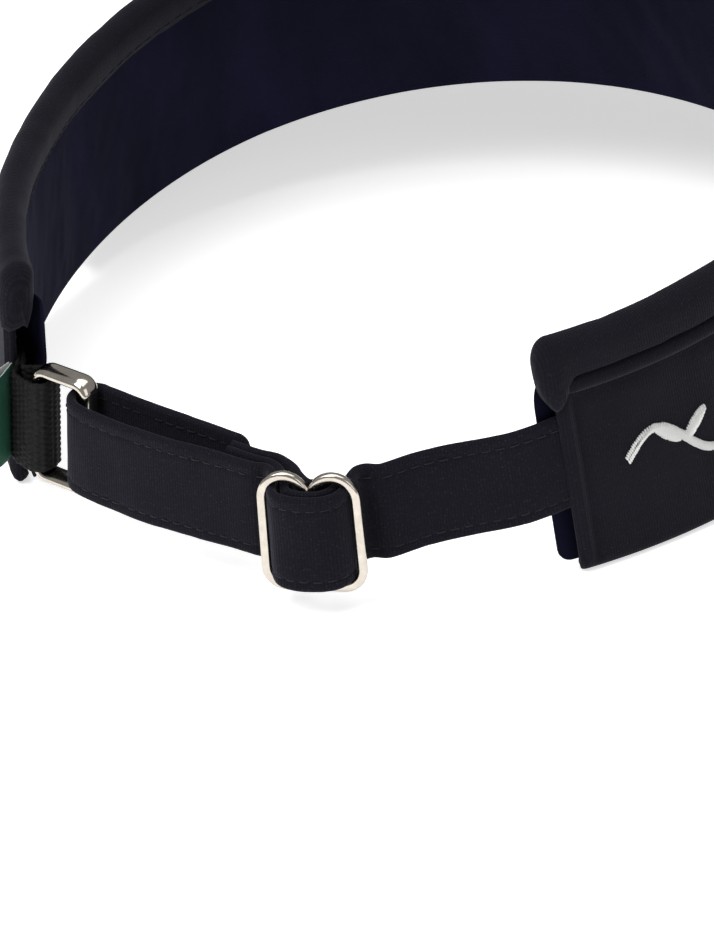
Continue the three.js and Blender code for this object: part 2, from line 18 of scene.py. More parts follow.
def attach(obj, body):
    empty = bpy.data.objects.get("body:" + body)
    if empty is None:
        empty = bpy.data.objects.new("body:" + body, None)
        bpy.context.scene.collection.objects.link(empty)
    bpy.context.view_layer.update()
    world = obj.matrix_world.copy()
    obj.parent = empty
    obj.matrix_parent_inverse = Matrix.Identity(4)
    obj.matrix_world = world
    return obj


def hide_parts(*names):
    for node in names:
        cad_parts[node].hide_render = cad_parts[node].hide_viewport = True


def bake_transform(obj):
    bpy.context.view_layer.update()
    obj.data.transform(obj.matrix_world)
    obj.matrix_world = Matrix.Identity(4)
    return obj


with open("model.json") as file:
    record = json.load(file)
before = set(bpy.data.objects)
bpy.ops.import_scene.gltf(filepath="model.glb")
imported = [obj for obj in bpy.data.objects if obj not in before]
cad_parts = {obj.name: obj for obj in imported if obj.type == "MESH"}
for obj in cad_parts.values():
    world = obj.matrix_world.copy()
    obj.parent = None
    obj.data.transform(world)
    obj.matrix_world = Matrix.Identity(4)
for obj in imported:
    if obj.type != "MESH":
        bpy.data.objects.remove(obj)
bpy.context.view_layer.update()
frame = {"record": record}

# ---------- dimensions shared with the CAD part ----------
REST_TILT = math.radians(6.5)
HALF_WIDTH, HALF_DEPTH, BACK_NARROWING = 84.1, 95.2, 0.19
BAND_END, SEAM_ANGLE = 50.4, 120.0
HEIGHT_END, HEIGHT_FRONT, SIDE_DIP = 48.0, 53.4, -10.4
LEAN_FRONT, LEAN_BACK = 11.4, 4.2
BILL_HALF_ANGLE, BILL_LENGTH, BILL_HALF_WIDTH, BILL_BACK_Y = 76.0, 70.0, 94.0, -24.0
BILL_SWEEP, BILL_POWER, BILL_SLOPE, BILL_LIFT = 88.0, 2 / 2.5, 11.0, 0.5
BILL_SEAM_OFFSET = 4.0
CLOSURE_RADIUS, CLOSURE_Y, CLOSURE_LEAN, END_LEAN = 83.3, -0.35, 8.0, 5.5
STRAP_WIDTH, STRAP_THICKNESS, STRAP_BOTTOM, STRAP_BOTTOM_END = 19.0, 1.9, 2.1, 6.2
LOOP_PLY, MID_HEIGHT = 1.6, 11.8
SLIDER_ANGLE, SLIDER_OFFSET, SLIDER_HALF_WIDTH, SLIDER_HEIGHT = -11.0, 6.6, 9.9, 23.7
WIRE, SLIDER_CORNER, HUMP_RADIUS = 1.6, 4.5, 5.1
RING_LEFT, RING_RIGHT = (37.0, -0.4), (28.3, -4.1)
RING_HEIGHT, RING_BAR, RING_DEPTH, RING_CORNER = 24.4, 2.2, 4.4, 3.6
WEBBING_WIDTH, WEBBING_PLY = 19.0, 1.0
LABEL_HEIGHT, LABEL_LENGTH, LABEL_CLOTH = 19.0, 7.4, 0.5
VINE_FROM, VINE_TO, VINE_LENGTH, VINE_SWAY, VINE_WAVES = -58.0, -98.0, 62.0, 4.5, 2.5
VINE_HEIGHT, VINE_STROKE, LEAF = 20.0, 1.7, (3.6, 1.5)

# ---------- dimensions of the visual model ----------
MM_PER_DEGREE = 1.5  # along the head loop, roughly
SHELL_FACE = 3.9  # offset of the panels' outer face from the loop
LINING_OVERHANG, LINING_LOW, LINING_DROP = 1.9, 0.75, 8.6  # degrees past the panels, then its two seams
ROLL_MIDDLE, ROLL_RADIUS, ROLL_DEPTH = 1.3, 3.5, 3.4
ROLL_OVERHANG, ROLL_DROOP = 1.7, 7.4  # degrees past the panels, and how far its ends hang down
BILL_ROWS = [0.2, 0.36, 0.52, 0.68, 0.84, 0.955]  # stitch rows, as shares of the way out to the edge
BILL_CORNER_SPAN, BILL_CORNER_CUT = 0.12, 0.72  # share of each side taken by the rounded rear corner
STITCH_INSET, STITCH_PITCH, STITCH_LENGTH = 2.3, 2.7, 2.0  # along both edges of the strap
THREAD_RADIUS = 0.13
FOLD_ANGLE, FOLD_FRONT, FOLD_BACK = 27.5, -0.25, -8.0  # where the strap starts to fold round the ring
FRONT_SPLIT, BACK_SPLIT = 18.5, 19.0  # angles where the layers stop following the slider
KNIT_RIB = 0.6
SATIN_PITCH, SATIN_LIFT, SATIN_STRAND = 0.46, 0.45, 0.23  # of the embroidery's threads
FLOOR_HALF = 6.0  # metres
CAMERA_AZIMUTH, CAMERA_ELEVATION, CAMERA_ROLL = (math.radians(v) for v in (207.36, 31.84, -7.17))
CAMERA_SHIFT_RIGHT, CAMERA_SHIFT_UP = 0.00911, 0.02095
CAMERA_DISTANCE, CAMERA_LENS, CAMERA_SENSOR = 1414, 272.8, 36.0

band_origin = np.array(frame["record"]["mounts"][0]["pos_m"])


def turn(p):
    """Rotates headband-frame vectors into the row frame."""
    p = np.asarray(p, float)
    c, s = math.cos(REST_TILT), math.sin(REST_TILT)
    return np.stack([p[..., 0], p[..., 1] * c + p[..., 2] * s, p[..., 2] * c - p[..., 1] * s], -1)


def to_row(p):
    return turn(p) / 1000 + band_origin


def unit(vectors):
    return vectors / np.linalg.norm(vectors, axis=-1, keepdims=True)


# ---------- maths of the head loop ----------
def loop_plan(angle):
    a = np.radians(angle)
    x = HALF_WIDTH * np.sin(a) * (1 - BACK_NARROWING * np.cos(a))
    return np.stack([x, HALF_DEPTH * np.cos(a)], -1)


def loop_normal(angle):
    ahead = unit(loop_plan(np.asarray(angle) + 0.1) - loop_plan(np.asarray(angle) - 0.1))
    return np.stack([-ahead[..., 1], ahead[..., 0]], -1)


def band_height(angle):
    away = np.minimum(np.abs(angle), 360 - np.abs(angle))
    along = np.clip((away - BAND_END) / (180 - BAND_END), 0, 1)
    return HEIGHT_END + (HEIGHT_FRONT - HEIGHT_END) * (1 - np.cos(along * np.pi)) / 2


def band_lean(angle):
    return np.radians(LEAN_FRONT + (LEAN_BACK - LEAN_FRONT) * (np.cos(np.radians(angle)) + 1) / 2)


def band_bottom(angle):
    a = np.radians(angle)
    return SIDE_DIP * np.sin(a) ** 2 - (1 - np.cos(a)) / 2


def band_point(angle, offset, height):
    angle, offset, height = np.broadcast_arrays(*(np.asarray(v, float) for v in (angle, offset, height)))
    lean = band_lean(angle)
    plan = loop_plan(angle) + loop_normal(angle) * (offset - height * np.sin(lean))[..., None]
    return np.concatenate([plan, (band_bottom(angle) + height * np.cos(lean))[..., None]], -1)


def band_normal(angle):
    lean = band_lean(angle)
    return np.concatenate([loop_normal(angle) * np.cos(lean)[..., None], np.sin(lean)[..., None]], -1)


def arc_length(points):
    steps = np.linalg.norm(np.diff(points, axis=0), axis=-1)
    return np.concatenate([[0], np.cumsum(steps)])


def part_way(line, s, t):
    """The line's values at lengths t, where its own points lie at lengths s."""
    return np.stack([np.interp(t, s, column) for column in line.T], -1)


def smooth_step(x):
    x = np.clip(x, 0, 1)
    return x * x * (3 - 2 * x)


def value_noise(u, v, cell, seed):
    """Smooth noise from -1 to 1 over the plane; cell is its (u, v) grain."""
    rng = np.random.default_rng(seed)
    table = rng.uniform(-1, 1, (64, 64))
    x, y = np.asarray(u) / cell[0] + 500, np.asarray(v) / cell[1] + 500
    x, y = np.broadcast_arrays(x, y)
    i, j = np.floor(x).astype(int), np.floor(y).astype(int)
    s, t = smooth_step(x - i), smooth_step(y - j)
    a, b = table[i % 64, j % 64], table[(i + 1) % 64, j % 64]
    c, d = table[i % 64, (j + 1) % 64], table[(i + 1) % 64, (j + 1) % 64]
    return (a * (1 - s) + b * s) * (1 - t) + (c * (1 - s) + d * s) * t


# ---------- mesh building ----------
class Shape:
    """Collects grids and threads in millimetres and builds one Blender object."""

    def __init__(self, name):
        self.name = name
        self.verts, self.faces, self.slots, self.cloth = [], [], [], []
        self.count = 0

    def grid(self, rings, loop=False, slot=0, slot_of=None):
        """rings is (stations, points round the section, 3); loop joins the last station to the first."""
        n, k, _ = rings.shape
        first = self.count
        for i in range(n if loop else n - 1):
            a, b = first + i * k, first + (i + 1) % n * k
            for j in range(k):
                self.faces.append((a + j, a + (j + 1) % k, b + (j + 1) % k, b + j))
                self.slots.append(slot_of(j) if slot_of else slot)
        if not loop:
            self.faces.append(tuple(range(first, first + k))[::-1])
            self.faces.append(tuple(range(first + (n - 1) * k, first + n * k)))
            self.slots += [slot, slot]
        along, round_section = arc_length(rings.mean(1)), arc_length(rings[n // 2])
        cloth = np.stack(np.broadcast_arrays(along[:, None], round_section[None, :]), -1)
        self.verts.append(rings.reshape(-1, 3))
        self.cloth.append(cloth.reshape(-1, 2))
        self.count += n * k

    def thread(self, points, radius, sides=5, slot=1):
        """One strand along the points, its ends drawn in."""
        points = np.asarray(points, float)
        ahead = unit(np.gradient(points, axis=0))
        side = unit(np.cross(ahead, [0.31, 0.17, 0.93]))  # a direction that no strand runs along
        up = np.cross(ahead, side)
        thick = np.full(len(points), radius)
        thick[0] = thick[-1] = radius * 0.45
        turns = np.linspace(0, 2 * np.pi, sides, endpoint=False)
        rings = points[:, None] + thick[:, None, None] * (
            side[:, None] * np.cos(turns)[None, :, None] + up[:, None] * np.sin(turns)[None, :, None]
        )
        self.grid(rings, slot=slot)

    def stitches(self, path, normals, pitch, length, radius):
        """A running stitch laid on the surface: each strand dives in at both ends."""
        s = arc_length(path)
        at = pitch / 2
        lift = np.array([-0.16, 0.06, 0.12, 0.06, -0.16])
        while at + length < s[-1]:
            t = at + length * np.array([0, 0.16, 0.5, 0.84, 1])
            self.thread(part_way(path, s, t) + part_way(normals, s, t) * lift[:, None], radius)
            at += pitch

    def build(self, materials, sharp=50):
        mesh = bpy.data.meshes.new(self.name)
        mesh.from_pydata(to_row(np.concatenate(self.verts)).tolist(), [], self.faces)
        for material in materials:
            mesh.materials.append(material)
        mesh.polygons.foreach_set("material_index", np.array(self.slots, np.int32))
        mesh.polygons.foreach_set("use_smooth", np.ones(len(mesh.polygons), bool))
        cloth = np.concatenate(self.cloth)
        data = np.concatenate([cloth, np.zeros((len(cloth), 1))], 1).astype(np.float32)
        mesh.attributes.new("cloth", "FLOAT_VECTOR", "POINT").data.foreach_set("vector", data.ravel())
        mesh.update()
        outward(mesh)
        mesh.set_sharp_from_angle(angle=math.radians(sharp))
        piece = bpy.data.objects.new(self.name, mesh)
        bpy.context.scene.collection.objects.link(piece)
        return piece


def outward(mesh):
    """Turns every face to look out of the closed mesh."""
    b = bmesh.new()
    b.from_mesh(mesh)
    bmesh.ops.recalc_face_normals(b, faces=b.faces)
    b.to_mesh(mesh)
    b.free()
    mesh.update()


# ---------- materials ----------
class Nodes:
    """A short way to wire a material."""

    def __init__(self, name):
        self.material = bpy.data.materials.new(name)
        self.material.use_nodes = True
        self.tree = self.material.node_tree
        self.shader = self.tree.nodes["Principled BSDF"]

    def node(self, kind, inputs=None, **settings):
        made = self.tree.nodes.new(kind)
        for key, value in settings.items():
            setattr(made, key, value)
        for key, value in (inputs or {}).items():
            if isinstance(value, bpy.types.NodeSocket):
                self.tree.links.new(value, made.inputs[key])
            else:
                made.inputs[key].default_value = value
        return made

    def cloth_at(self, turn_degrees=0.0, scale=(1, 1, 1)):
        """The surface's own coordinates in millimetres."""
        place = self.node("ShaderNodeAttribute", attribute_name="cloth")
        mapping = self.node("ShaderNodeMapping", {"Vector": place.outputs["Vector"]})
        mapping.inputs["Rotation"].default_value = (0, 0, math.radians(turn_degrees))
        mapping.inputs["Scale"].default_value = scale
        return mapping.outputs["Vector"]

    def maths(self, operation, a, b, c=0.0):
        return self.node("ShaderNodeMath", {0: a, 1: b, 2: c}, operation=operation).outputs[0]

    def noise(self, vector, scale, detail=2.0, roughness=0.5):
        values = {"Vector": vector, "Scale": scale, "Detail": detail, "Roughness": roughness}
        return self.node("ShaderNodeTexNoise", values).outputs["Fac"]

    def wave(self, vector, pitch, distortion=0.0, detail_scale=1.0):
        values = {"Vector": vector, "Scale": math.pi / 10 / pitch, "Distortion": distortion}
        values["Detail Scale"] = detail_scale
        return self.node("ShaderNodeTexWave", values, wave_type="BANDS").outputs["Fac"]

    def ramp(self, factor, stops):
        made = self.node("ShaderNodeValToRGB", {"Fac": factor})
        points = made.color_ramp.elements
        points[0].position, points[0].color = stops[0][0], (*stops[0][1], 1)
        points[1].position, points[1].color = stops[-1][0], (*stops[-1][1], 1)
        for position, colour in stops[1:-1]:
            points.new(position).color = (*colour, 1)
        return made.outputs["Color"]

    def bump(self, height, distance):
        values = {"Height": height, "Distance": distance / 1000, "Strength": 1.0}
        return self.node("ShaderNodeBump", values).outputs["Normal"]

    def shade(self, **values):
        for key, value in values.items():
            socket = self.shader.inputs[key.replace("_", " ")]
            if isinstance(value, bpy.types.NodeSocket):
                self.tree.links.new(value, socket)
            else:
                socket.default_value = value
        return self.material


def knit_material(name, colour, fleck):
    """Fine double knit: uneven wales across the cloth's length, broken by grain, with light flecks."""
    n = Nodes(name)
    place = n.cloth_at()
    wales = n.wave(place, KNIT_RIB, 2.2, 2.5)
    courses = n.wave(n.cloth_at(90), KNIT_RIB * 0.8, 2.6, 2.5)
    grain = n.noise(n.cloth_at(0, (1.3, 0.9, 1)), 1.9, 3.0, 0.62)
    wale_depth = n.maths("MULTIPLY_ADD", wales, 0.65, 0.35)
    weave = n.maths("MULTIPLY", wale_depth, n.maths("MULTIPLY_ADD", courses, 0.45, 0.55))
    flecks = n.maths("MULTIPLY", n.maths("MULTIPLY_ADD", grain, 6.0, -3.3), weave)
    mottle = n.noise(place, 0.09, 3.0)
    dark = tuple(c * 0.55 for c in colour)
    light = tuple(c * 1.35 for c in colour)
    blend = n.maths("MULTIPLY_ADD", weave, 0.6, n.maths("MULTIPLY", mottle, 0.4))
    tone = n.ramp(blend, [(0.15, dark), (0.5, colour), (0.85, light)])
    mixed = n.node("ShaderNodeMix", data_type="RGBA")
    n.tree.links.new(n.node("ShaderNodeClamp", {"Value": flecks}).outputs[0], mixed.inputs[0])
    n.tree.links.new(tone, mixed.inputs[6])
    mixed.inputs[7].default_value = (*fleck, 1)
    height = n.maths("MULTIPLY_ADD", grain, 0.8, weave)
    rough = n.maths("MULTIPLY_ADD", grain, 0.12, 0.84)
    n.shade(Base_Color=mixed.outputs[2], Roughness=rough, Normal=n.bump(height, 0.08))
    n.shade(Specular_IOR_Level=0.08, Sheen_Weight=0.07, Sheen_Roughness=0.45)
    return n.shade(Sheen_Tint=(0.8, 0.82, 1, 1))


def satin_material():
    """Brushed navy satin: fine threads along the band, soft clouds of painted shade and painted bluish sheen
    up and down it, and a bluish sheen.
    """
    n = Nodes("satin_lining")
    threads = n.wave(n.cloth_at(90), 0.36, 2.0, 1.5)
    fuzz = n.noise(n.cloth_at(0, (0.6, 1.6, 1)), 1.9, 3.0, 0.6)
    # painted shade and painted sheen: soft clouds move the colour between darker navy and a lighter, bluer
    # tone
    painted_sheen_clouds = n.noise(n.cloth_at(0, (1.0, 0.35, 1)), 0.06, 3.0)
    tone = n.ramp(
        n.maths("MULTIPLY_ADD", painted_sheen_clouds, 0.7, n.maths("MULTIPLY", fuzz, 0.3)),
        [(0.3, (0.0038, 0.0038, 0.0105)), (0.5, (0.0052, 0.0052, 0.015)), (0.75, (0.007, 0.0074, 0.025))],
    )
    height = n.maths("MULTIPLY_ADD", threads, 0.5, fuzz)
    rough = n.maths("MULTIPLY_ADD", fuzz, 0.2, 0.68)
    n.shade(Base_Color=tone, Roughness=rough, Normal=n.bump(height, 0.05))
    n.shade(Specular_IOR_Level=0.03, Sheen_Weight=0.02, Sheen_Roughness=0.4)
    return n.shade(Sheen_Tint=(0.62, 0.66, 1, 1))


def thread_material(name, colour, roughness, sheen, specular):
    """Twisted thread: fine slanted plies along each strand."""
    n = Nodes(name)
    plies = n.wave(n.cloth_at(50), 0.22, 1.0)
    shade = n.noise(n.cloth_at(), 1.1)
    tone = n.ramp(
        n.maths("MULTIPLY_ADD", plies, 0.5, n.maths("MULTIPLY", shade, 0.5)),
        [(0.15, tuple(c * 0.72 for c in colour)), (0.8, colour)],
    )
    rough = n.maths("MULTIPLY_ADD", shade, 0.2, roughness - 0.1)
    n.shade(Base_Color=tone, Roughness=rough, Normal=n.bump(plies, 0.04))
    return n.shade(Specular_IOR_Level=specular, Sheen_Weight=sheen)


def nickel_material(name, roughness):
    """Polished nickel plate: faint orange peel, hairline rubs and a slightly uneven polish."""
    n = Nodes(name)
    place = n.cloth_at()
    peel = n.noise(place, 0.55, 2.0)
    rubs = n.noise(n.cloth_at(0, (0.25, 6, 1)), 1.2, 3.0)
    tone = n.ramp(peel, [(0.2, (0.47, 0.43, 0.375)), (0.8, (0.60, 0.55, 0.485))])
    rough = n.maths("MULTIPLY_ADD", rubs, 0.14, roughness - 0.05)
    height = n.maths("MULTIPLY_ADD", peel, 1.0, n.maths("MULTIPLY", rubs, 0.15))
    return n.shade(Base_Color=tone, Metallic=1.0, Roughness=rough, Normal=n.bump(height, 0.012))


def webbing_material():
    """Black nylon webbing: soft filament gloss on each rib."""
    n = Nodes("webbing")
    filaments = n.wave(n.cloth_at(90), 0.17, 1.5)
    shade = n.noise(n.cloth_at(), 0.8)
    tone = n.ramp(shade, [(0.2, (0.003, 0.003, 0.003)), (0.8, (0.009, 0.009, 0.0085))])
    rough = n.maths("MULTIPLY_ADD", filaments, 0.15, 0.5)
    n.shade(Base_Color=tone, Roughness=rough, Normal=n.bump(filaments, 0.04))
    return n.shade(Specular_IOR_Level=0.14)


def ribbon_material(name, colour, pale):
    """Woven satin ribbon of the label: fine weft crossed by warp, and a soft gloss."""
    n = Nodes(name)
    weft = n.wave(n.cloth_at(0), 0.24, 0.6)
    warp = n.wave(n.cloth_at(90), 0.3, 0.8)
    weave = n.maths("MULTIPLY", weft, n.maths("MULTIPLY_ADD", warp, 0.4, 0.6))
    tone = n.ramp(weave, [(0.1, colour), (0.9, pale)])
    shade = n.noise(n.cloth_at(), 0.5)
    rough = n.maths("MULTIPLY_ADD", shade, 0.2, 0.4)
    n.shade(Base_Color=tone, Roughness=rough, Normal=n.bump(weave, 0.05))
    return n.shade(Specular_IOR_Level=0.16, Sheen_Weight=0.04)


cloth = knit_material("outer_cloth", (0.0062, 0.0056, 0.0088), (0.022, 0.021, 0.03))
strap_cloth = knit_material("strap_cloth", (0.006, 0.0054, 0.0088), (0.032, 0.03, 0.042))
satin = satin_material()
navy_thread = thread_material("navy_thread", (0.011, 0.0105, 0.017), 0.6, 0.1, 0.15)
white_thread = thread_material("white_thread", (0.93, 0.93, 0.91), 0.5, 0.3, 0.35)
nickel = nickel_material("nickel", 0.16)
ring_nickel = nickel_material("ring_nickel", 0.11)
webbing = webbing_material()
label_green = ribbon_material("label_green", (0.003, 0.04, 0.022), (0.006, 0.085, 0.046))
label_back = ribbon_material("label_back", (0.36, 0.38, 0.37), (0.62, 0.64, 0.62))


def settle(piece, body, slot, *nodes):
    """Makes a piece ride on a body in place of the CAD nodes it stands for."""
    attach(piece, body)
    if nodes:
        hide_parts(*nodes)
    return piece


# ---------- headband ----------
def stations(start, end, step):
    """Angles from start to end, both included, about a step apart."""
    return np.linspace(start, end, max(2, int(round(abs(end - start) / step))) + 1)


def from_end(angle, start, end):
    """Millimetres along the loop from the nearer end of a stretch of band, roughly."""
    return np.minimum(angle - start, end - angle) * MM_PER_DEGREE


def end_round(distance, radius):
    """How far a section has opened out, 0.1 to 1, at a distance from a rounded end."""
    x = np.clip(distance / radius, 0, 1)
    return np.sqrt(np.clip(1 - (1 - x) ** 2, 0.01, 1))


def face_heights(height):
    """Heights of the points up a panel's open face, from the hem to the ridge."""
    return np.linspace(2.2, height - 12.2, 13)


def shell_section(height, puff, ridge_rise):
    """(offset, height) round the laminated cloth: up the outer face, over the corded ridge, down inside."""
    hem = [(0.5, 0.75), (0.9, 0.1), (1.7, -0.3), (2.7, -0.25), (3.5, 0.35), (SHELL_FACE - 0.05, 1.3)]
    face = [(SHELL_FACE + out, up) for out, up in zip(puff, face_heights(height))]
    ridge = [(-0.3, 11.3), (-0.25, 10.9), (0.5, 10.6), (1.1, 10.1), (1.4, 9.4), (1.35, 8.8), (0.9, 8.25)]
    ridge = [(SHELL_FACE + o * (ridge_rise if o > 0 else 1), height - d) for o, d in ridge]
    over = [(SHELL_FACE - 0.45, height - 7.8), (SHELL_FACE - 0.9, height - 7.4)]
    inner = [(1.8, height - 7.6), (1.8, height - 20), (1.7, height / 2), (1.5, 6), (1.2, 2)]
    return np.array(hem + face + ridge + over + inner)


def shell_panel(name, start, end, free_end=None):
    """A padded outer panel, pulled in at its seams, with a soft welt where it turns in at a free end."""
    angles = stations(start, end, 0.7)
    if free_end is not None:
        close = np.array([0.0, 0.12, 0.3, 0.55, 0.85, 1.2, 1.6, 2.1])
        angles = np.unique(np.concatenate([angles, free_end + np.sign(start + end - 2 * free_end) * close]))
    rings = []
    for a in angles:
        height = float(band_height(a))
        up, along = face_heights(height), a * MM_PER_DEGREE
        puff = 0.16 * value_noise(along, up, (9, 11), 5) + 0.08 * value_noise(along, up, (3.2, 7), 6)
        away = math.inf
        if free_end is not None:
            away = abs(a - free_end) * MM_PER_DEGREE
            welt = 0.4 * np.exp(-(((away - 1.5) / 0.75) ** 2))
            groove = 0.35 * np.exp(-(((away - 3.0) / 0.6) ** 2))
            puff = puff + welt - groove - 0.5 * (1 - smooth_step(away / 1.4))
        seam = min(abs(a - edge) for edge in (start, end) if edge != free_end) * MM_PER_DEGREE
        puff = puff - 0.45 * np.exp(-((seam / 0.7) ** 2))
        section = shell_section(height, puff, smooth_step((away - 0.6) / 3))
        middle = np.array([2.6, height / 2])
        opened = float(end_round(np.array(away), 1.3))
        section = middle + (section - middle) * np.array([0.25 + 0.75 * opened, 1 - 0.012 * (1 - opened)])
        rings.append(band_point(a, section[:, 0], section[:, 1]))
    shape = Shape(name)
    shape.grid(np.array(rings))
    piece = shape.build([cloth])
    return piece


for side, start, end, free in (
    ("left", BAND_END, SEAM_ANGLE, BAND_END),
    ("front", SEAM_ANGLE, 360 - SEAM_ANGLE, None),
    ("right", 360 - SEAM_ANGLE, 360 - BAND_END, 360 - BAND_END),
):
    nodes = [f"shell_{side}", f"foam_{side}"] + (["front_buckram"] if side == "front" else [])
    settle(shell_panel(f"panel_{side}", start, end, free), "headband", "outer_cloth", *nodes)


def lining_piece():
    """Satin creased between its two seams, with rounded ends and the left one loose."""
    start, end = BAND_END - LINING_OVERHANG, 360 - BAND_END + LINING_OVERHANG
    ends = np.array([0.0, 0.08, 0.2, 0.4, 0.7, 1.0, 1.4])
    angles = np.unique(np.concatenate([stations(start, end, 0.5), start + ends, end - ends]))
    rings = []
    for a in angles:
        height = float(band_height(a))
        from_edge = from_end(a, start, end)
        corner = 1 - math.sqrt(1 - (1 - np.clip(from_edge / 2.6, 0, 1)) ** 2)
        low, top = LINING_LOW + 2.6 * corner, height - LINING_DROP - 6 * corner
        up, along = np.linspace(low, top, 22), a * MM_PER_DEGREE
        folds = 0.45 * value_noise(along, up, (7.5, 34), 11)
        folds = folds + 0.3 * value_noise(along + up * 0.3, up, (3.6, 17), 12)
        folds = folds + 0.14 * value_noise(along, up, (1.6, 5), 13)
        pinned = smooth_step((up - low) / 5) * smooth_step((top + 1 - up) / 7)
        slack = 0.35 + 0.65 * smooth_step(from_edge / 7.5)
        inward = -0.32 + np.clip(folds * pinned, -0.65, 0.5) * slack
        loose = smooth_step((BAND_END + 7 - a) / 8)
        inward = inward - 3.0 * loose * smooth_step((up - 16) / 12)
        offsets = np.concatenate([inward, (inward + 0.34)[::-1]])
        rings.append(band_point(np.full(2 * len(up), a), offsets, np.concatenate([up, up[::-1]])))
    shape = Shape("lining_cloth")
    shape.grid(np.array(rings))
    return shape.build([satin])


lining = settle(lining_piece(), "headband", "satin_lining", "lining")


def roll_section(height, droop):
    """(offset, height) of the padded roll, from the hem inside, over the top, to the valley outside."""
    hem = 10.3 + 0.62 * droop
    inner = [(-0.42, height - hem), (-0.75, height - hem + 0.7), (-1.15, height - hem + 1.9)]
    inner += [(-1.7, height - 6.8 - 0.5 * droop), (-2.05, height - 5.2 - 0.3 * droop)]
    sweep = np.radians(np.linspace(174, 6, 15))
    top = height - ROLL_DEPTH
    arc = [(ROLL_MIDDLE + ROLL_RADIUS * math.cos(t), top + ROLL_RADIUS * math.sin(t)) for t in sweep]
    fat = droop * 0.09
    outer = [(4.78 + fat, height - 4.4 - 0.3 * droop), (4.7 + fat, height - 5.8 - 0.62 * droop)]
    outer += [(4.45 + fat, height - 7.0 - 0.88 * droop), (3.5, height - 7.9 - 0.97 * droop)]
    back = [(2.5, height - 7.6 - droop), (1.3, height - 7.4 - droop), (0.5, height - 7.7 - 0.9 * droop)]
    return np.array(inner + arc + outer + back + [(0.0, height - hem + 0.3)])


def roll_piece():
    """The roll runs a little past the panels, where its ends hang down as soft lobes."""
    start, end = BAND_END - ROLL_OVERHANG, 360 - BAND_END + ROLL_OVERHANG
    ends = np.array([0, 0.02, 0.06, 0.12, 0.2, 0.3, 0.43, 0.6, 0.8, 1.05, 1.35, 1.7, 2.1, 2.6, 3.2, 3.8])
    angles = np.unique(np.concatenate([stations(start, end, 0.8), start + ends, end - ends]))
    rings = []
    for a in angles:
        height = float(band_height(a))
        away = float(from_end(a, start, end))
        section = roll_section(height, ROLL_DROOP * (1 - smooth_step((away - 2.0) / 5.0)))
        middle = section.mean(0)
        along, place = a * MM_PER_DEGREE, np.arange(len(section)) * 1.0
        wrinkle = 0.12 * value_noise(along + place * 0.12, place, (3.4, 6), 21)
        wrinkle = wrinkle + 0.1 * value_noise(along, place, (8, 9), 22)
        section = section + unit(section - middle) * wrinkle[:, None]
        section = middle + (section - middle) * (0.12 + 0.88 * float(end_round(np.array(away), 4.2)))
        rings.append(band_point(a, section[:, 0], section[:, 1]))
    shape = Shape("top_roll")
    shape.grid(np.array(rings))
    along = stations(start + 12, end - 12, 0.5)
    hem_line = band_point(along, -1.2, band_height(along) - 8.6)
    shape.stitches(hem_line, -band_normal(along), 2.9, 2.2, THREAD_RADIUS)
    return shape.build([cloth, navy_thread])


roll = settle(roll_piece(), "headband", "outer_cloth", "top_roll_cover", "top_roll_foam", "top_piping")


# ---------- bill ----------
def bill_slope(y):
    """Height of the bill's middle line, running down towards the tip."""
    bottom = float(band_bottom(180.0))
    return bottom + BILL_LIFT + (y + HALF_DEPTH) * math.tan(math.radians(BILL_SLOPE))


bill_corner = band_point(180 - BILL_HALF_ANGLE, BILL_SEAM_OFFSET, 0)
bill_arch = (bill_slope(bill_corner[1]) - bill_corner[2] - BILL_LIFT) / bill_corner[0] ** 2


def bill_point(across, out, beyond, rise):
    """across -1..1 over the bill, out 0..1 from its seam to its edge, then millimetres beyond it."""
    across, out, beyond, rise = np.broadcast_arrays(across, out, beyond, rise)
    corner = np.clip((np.abs(across) - (1 - BILL_CORNER_SPAN)) / BILL_CORNER_SPAN, 0, 1)
    out = out * (1 - BILL_CORNER_CUT * (1 - np.sqrt(1 - corner**2)))
    tucked_in = 1.5 * np.clip(1 - out / 0.025, 0, 1)
    seam = band_point(180 + across * BILL_HALF_ANGLE, BILL_SEAM_OFFSET - tucked_in, np.zeros_like(across))
    sweep = np.radians(across * BILL_SWEEP)
    depth = BILL_LENGTH + HALF_DEPTH + BILL_SEAM_OFFSET + BILL_BACK_Y
    sine, cosine, side = np.abs(np.sin(sweep)), np.cos(sweep), -np.sign(across)
    edge = np.stack([side * BILL_HALF_WIDTH * sine**BILL_POWER, BILL_BACK_Y - depth * cosine**BILL_POWER], -1)
    rest = 2 - BILL_POWER
    outwards = unit(np.stack([side * sine**rest / BILL_HALF_WIDTH, -(cosine**rest) / depth], -1))
    plan = seam[..., :2] * (1 - out[..., None]) + edge * out[..., None] + outwards * beyond[..., None]
    sheet = bill_slope(plan[..., 1]) - bill_arch * plan[..., 0] ** 2
    step = seam[..., 2] + BILL_LIFT - (bill_slope(seam[..., 1]) - bill_arch * seam[..., 0] ** 2)
    return np.concatenate([plan, (sheet + step * (1 - out) ** 2 + rise)[..., None]], -1)


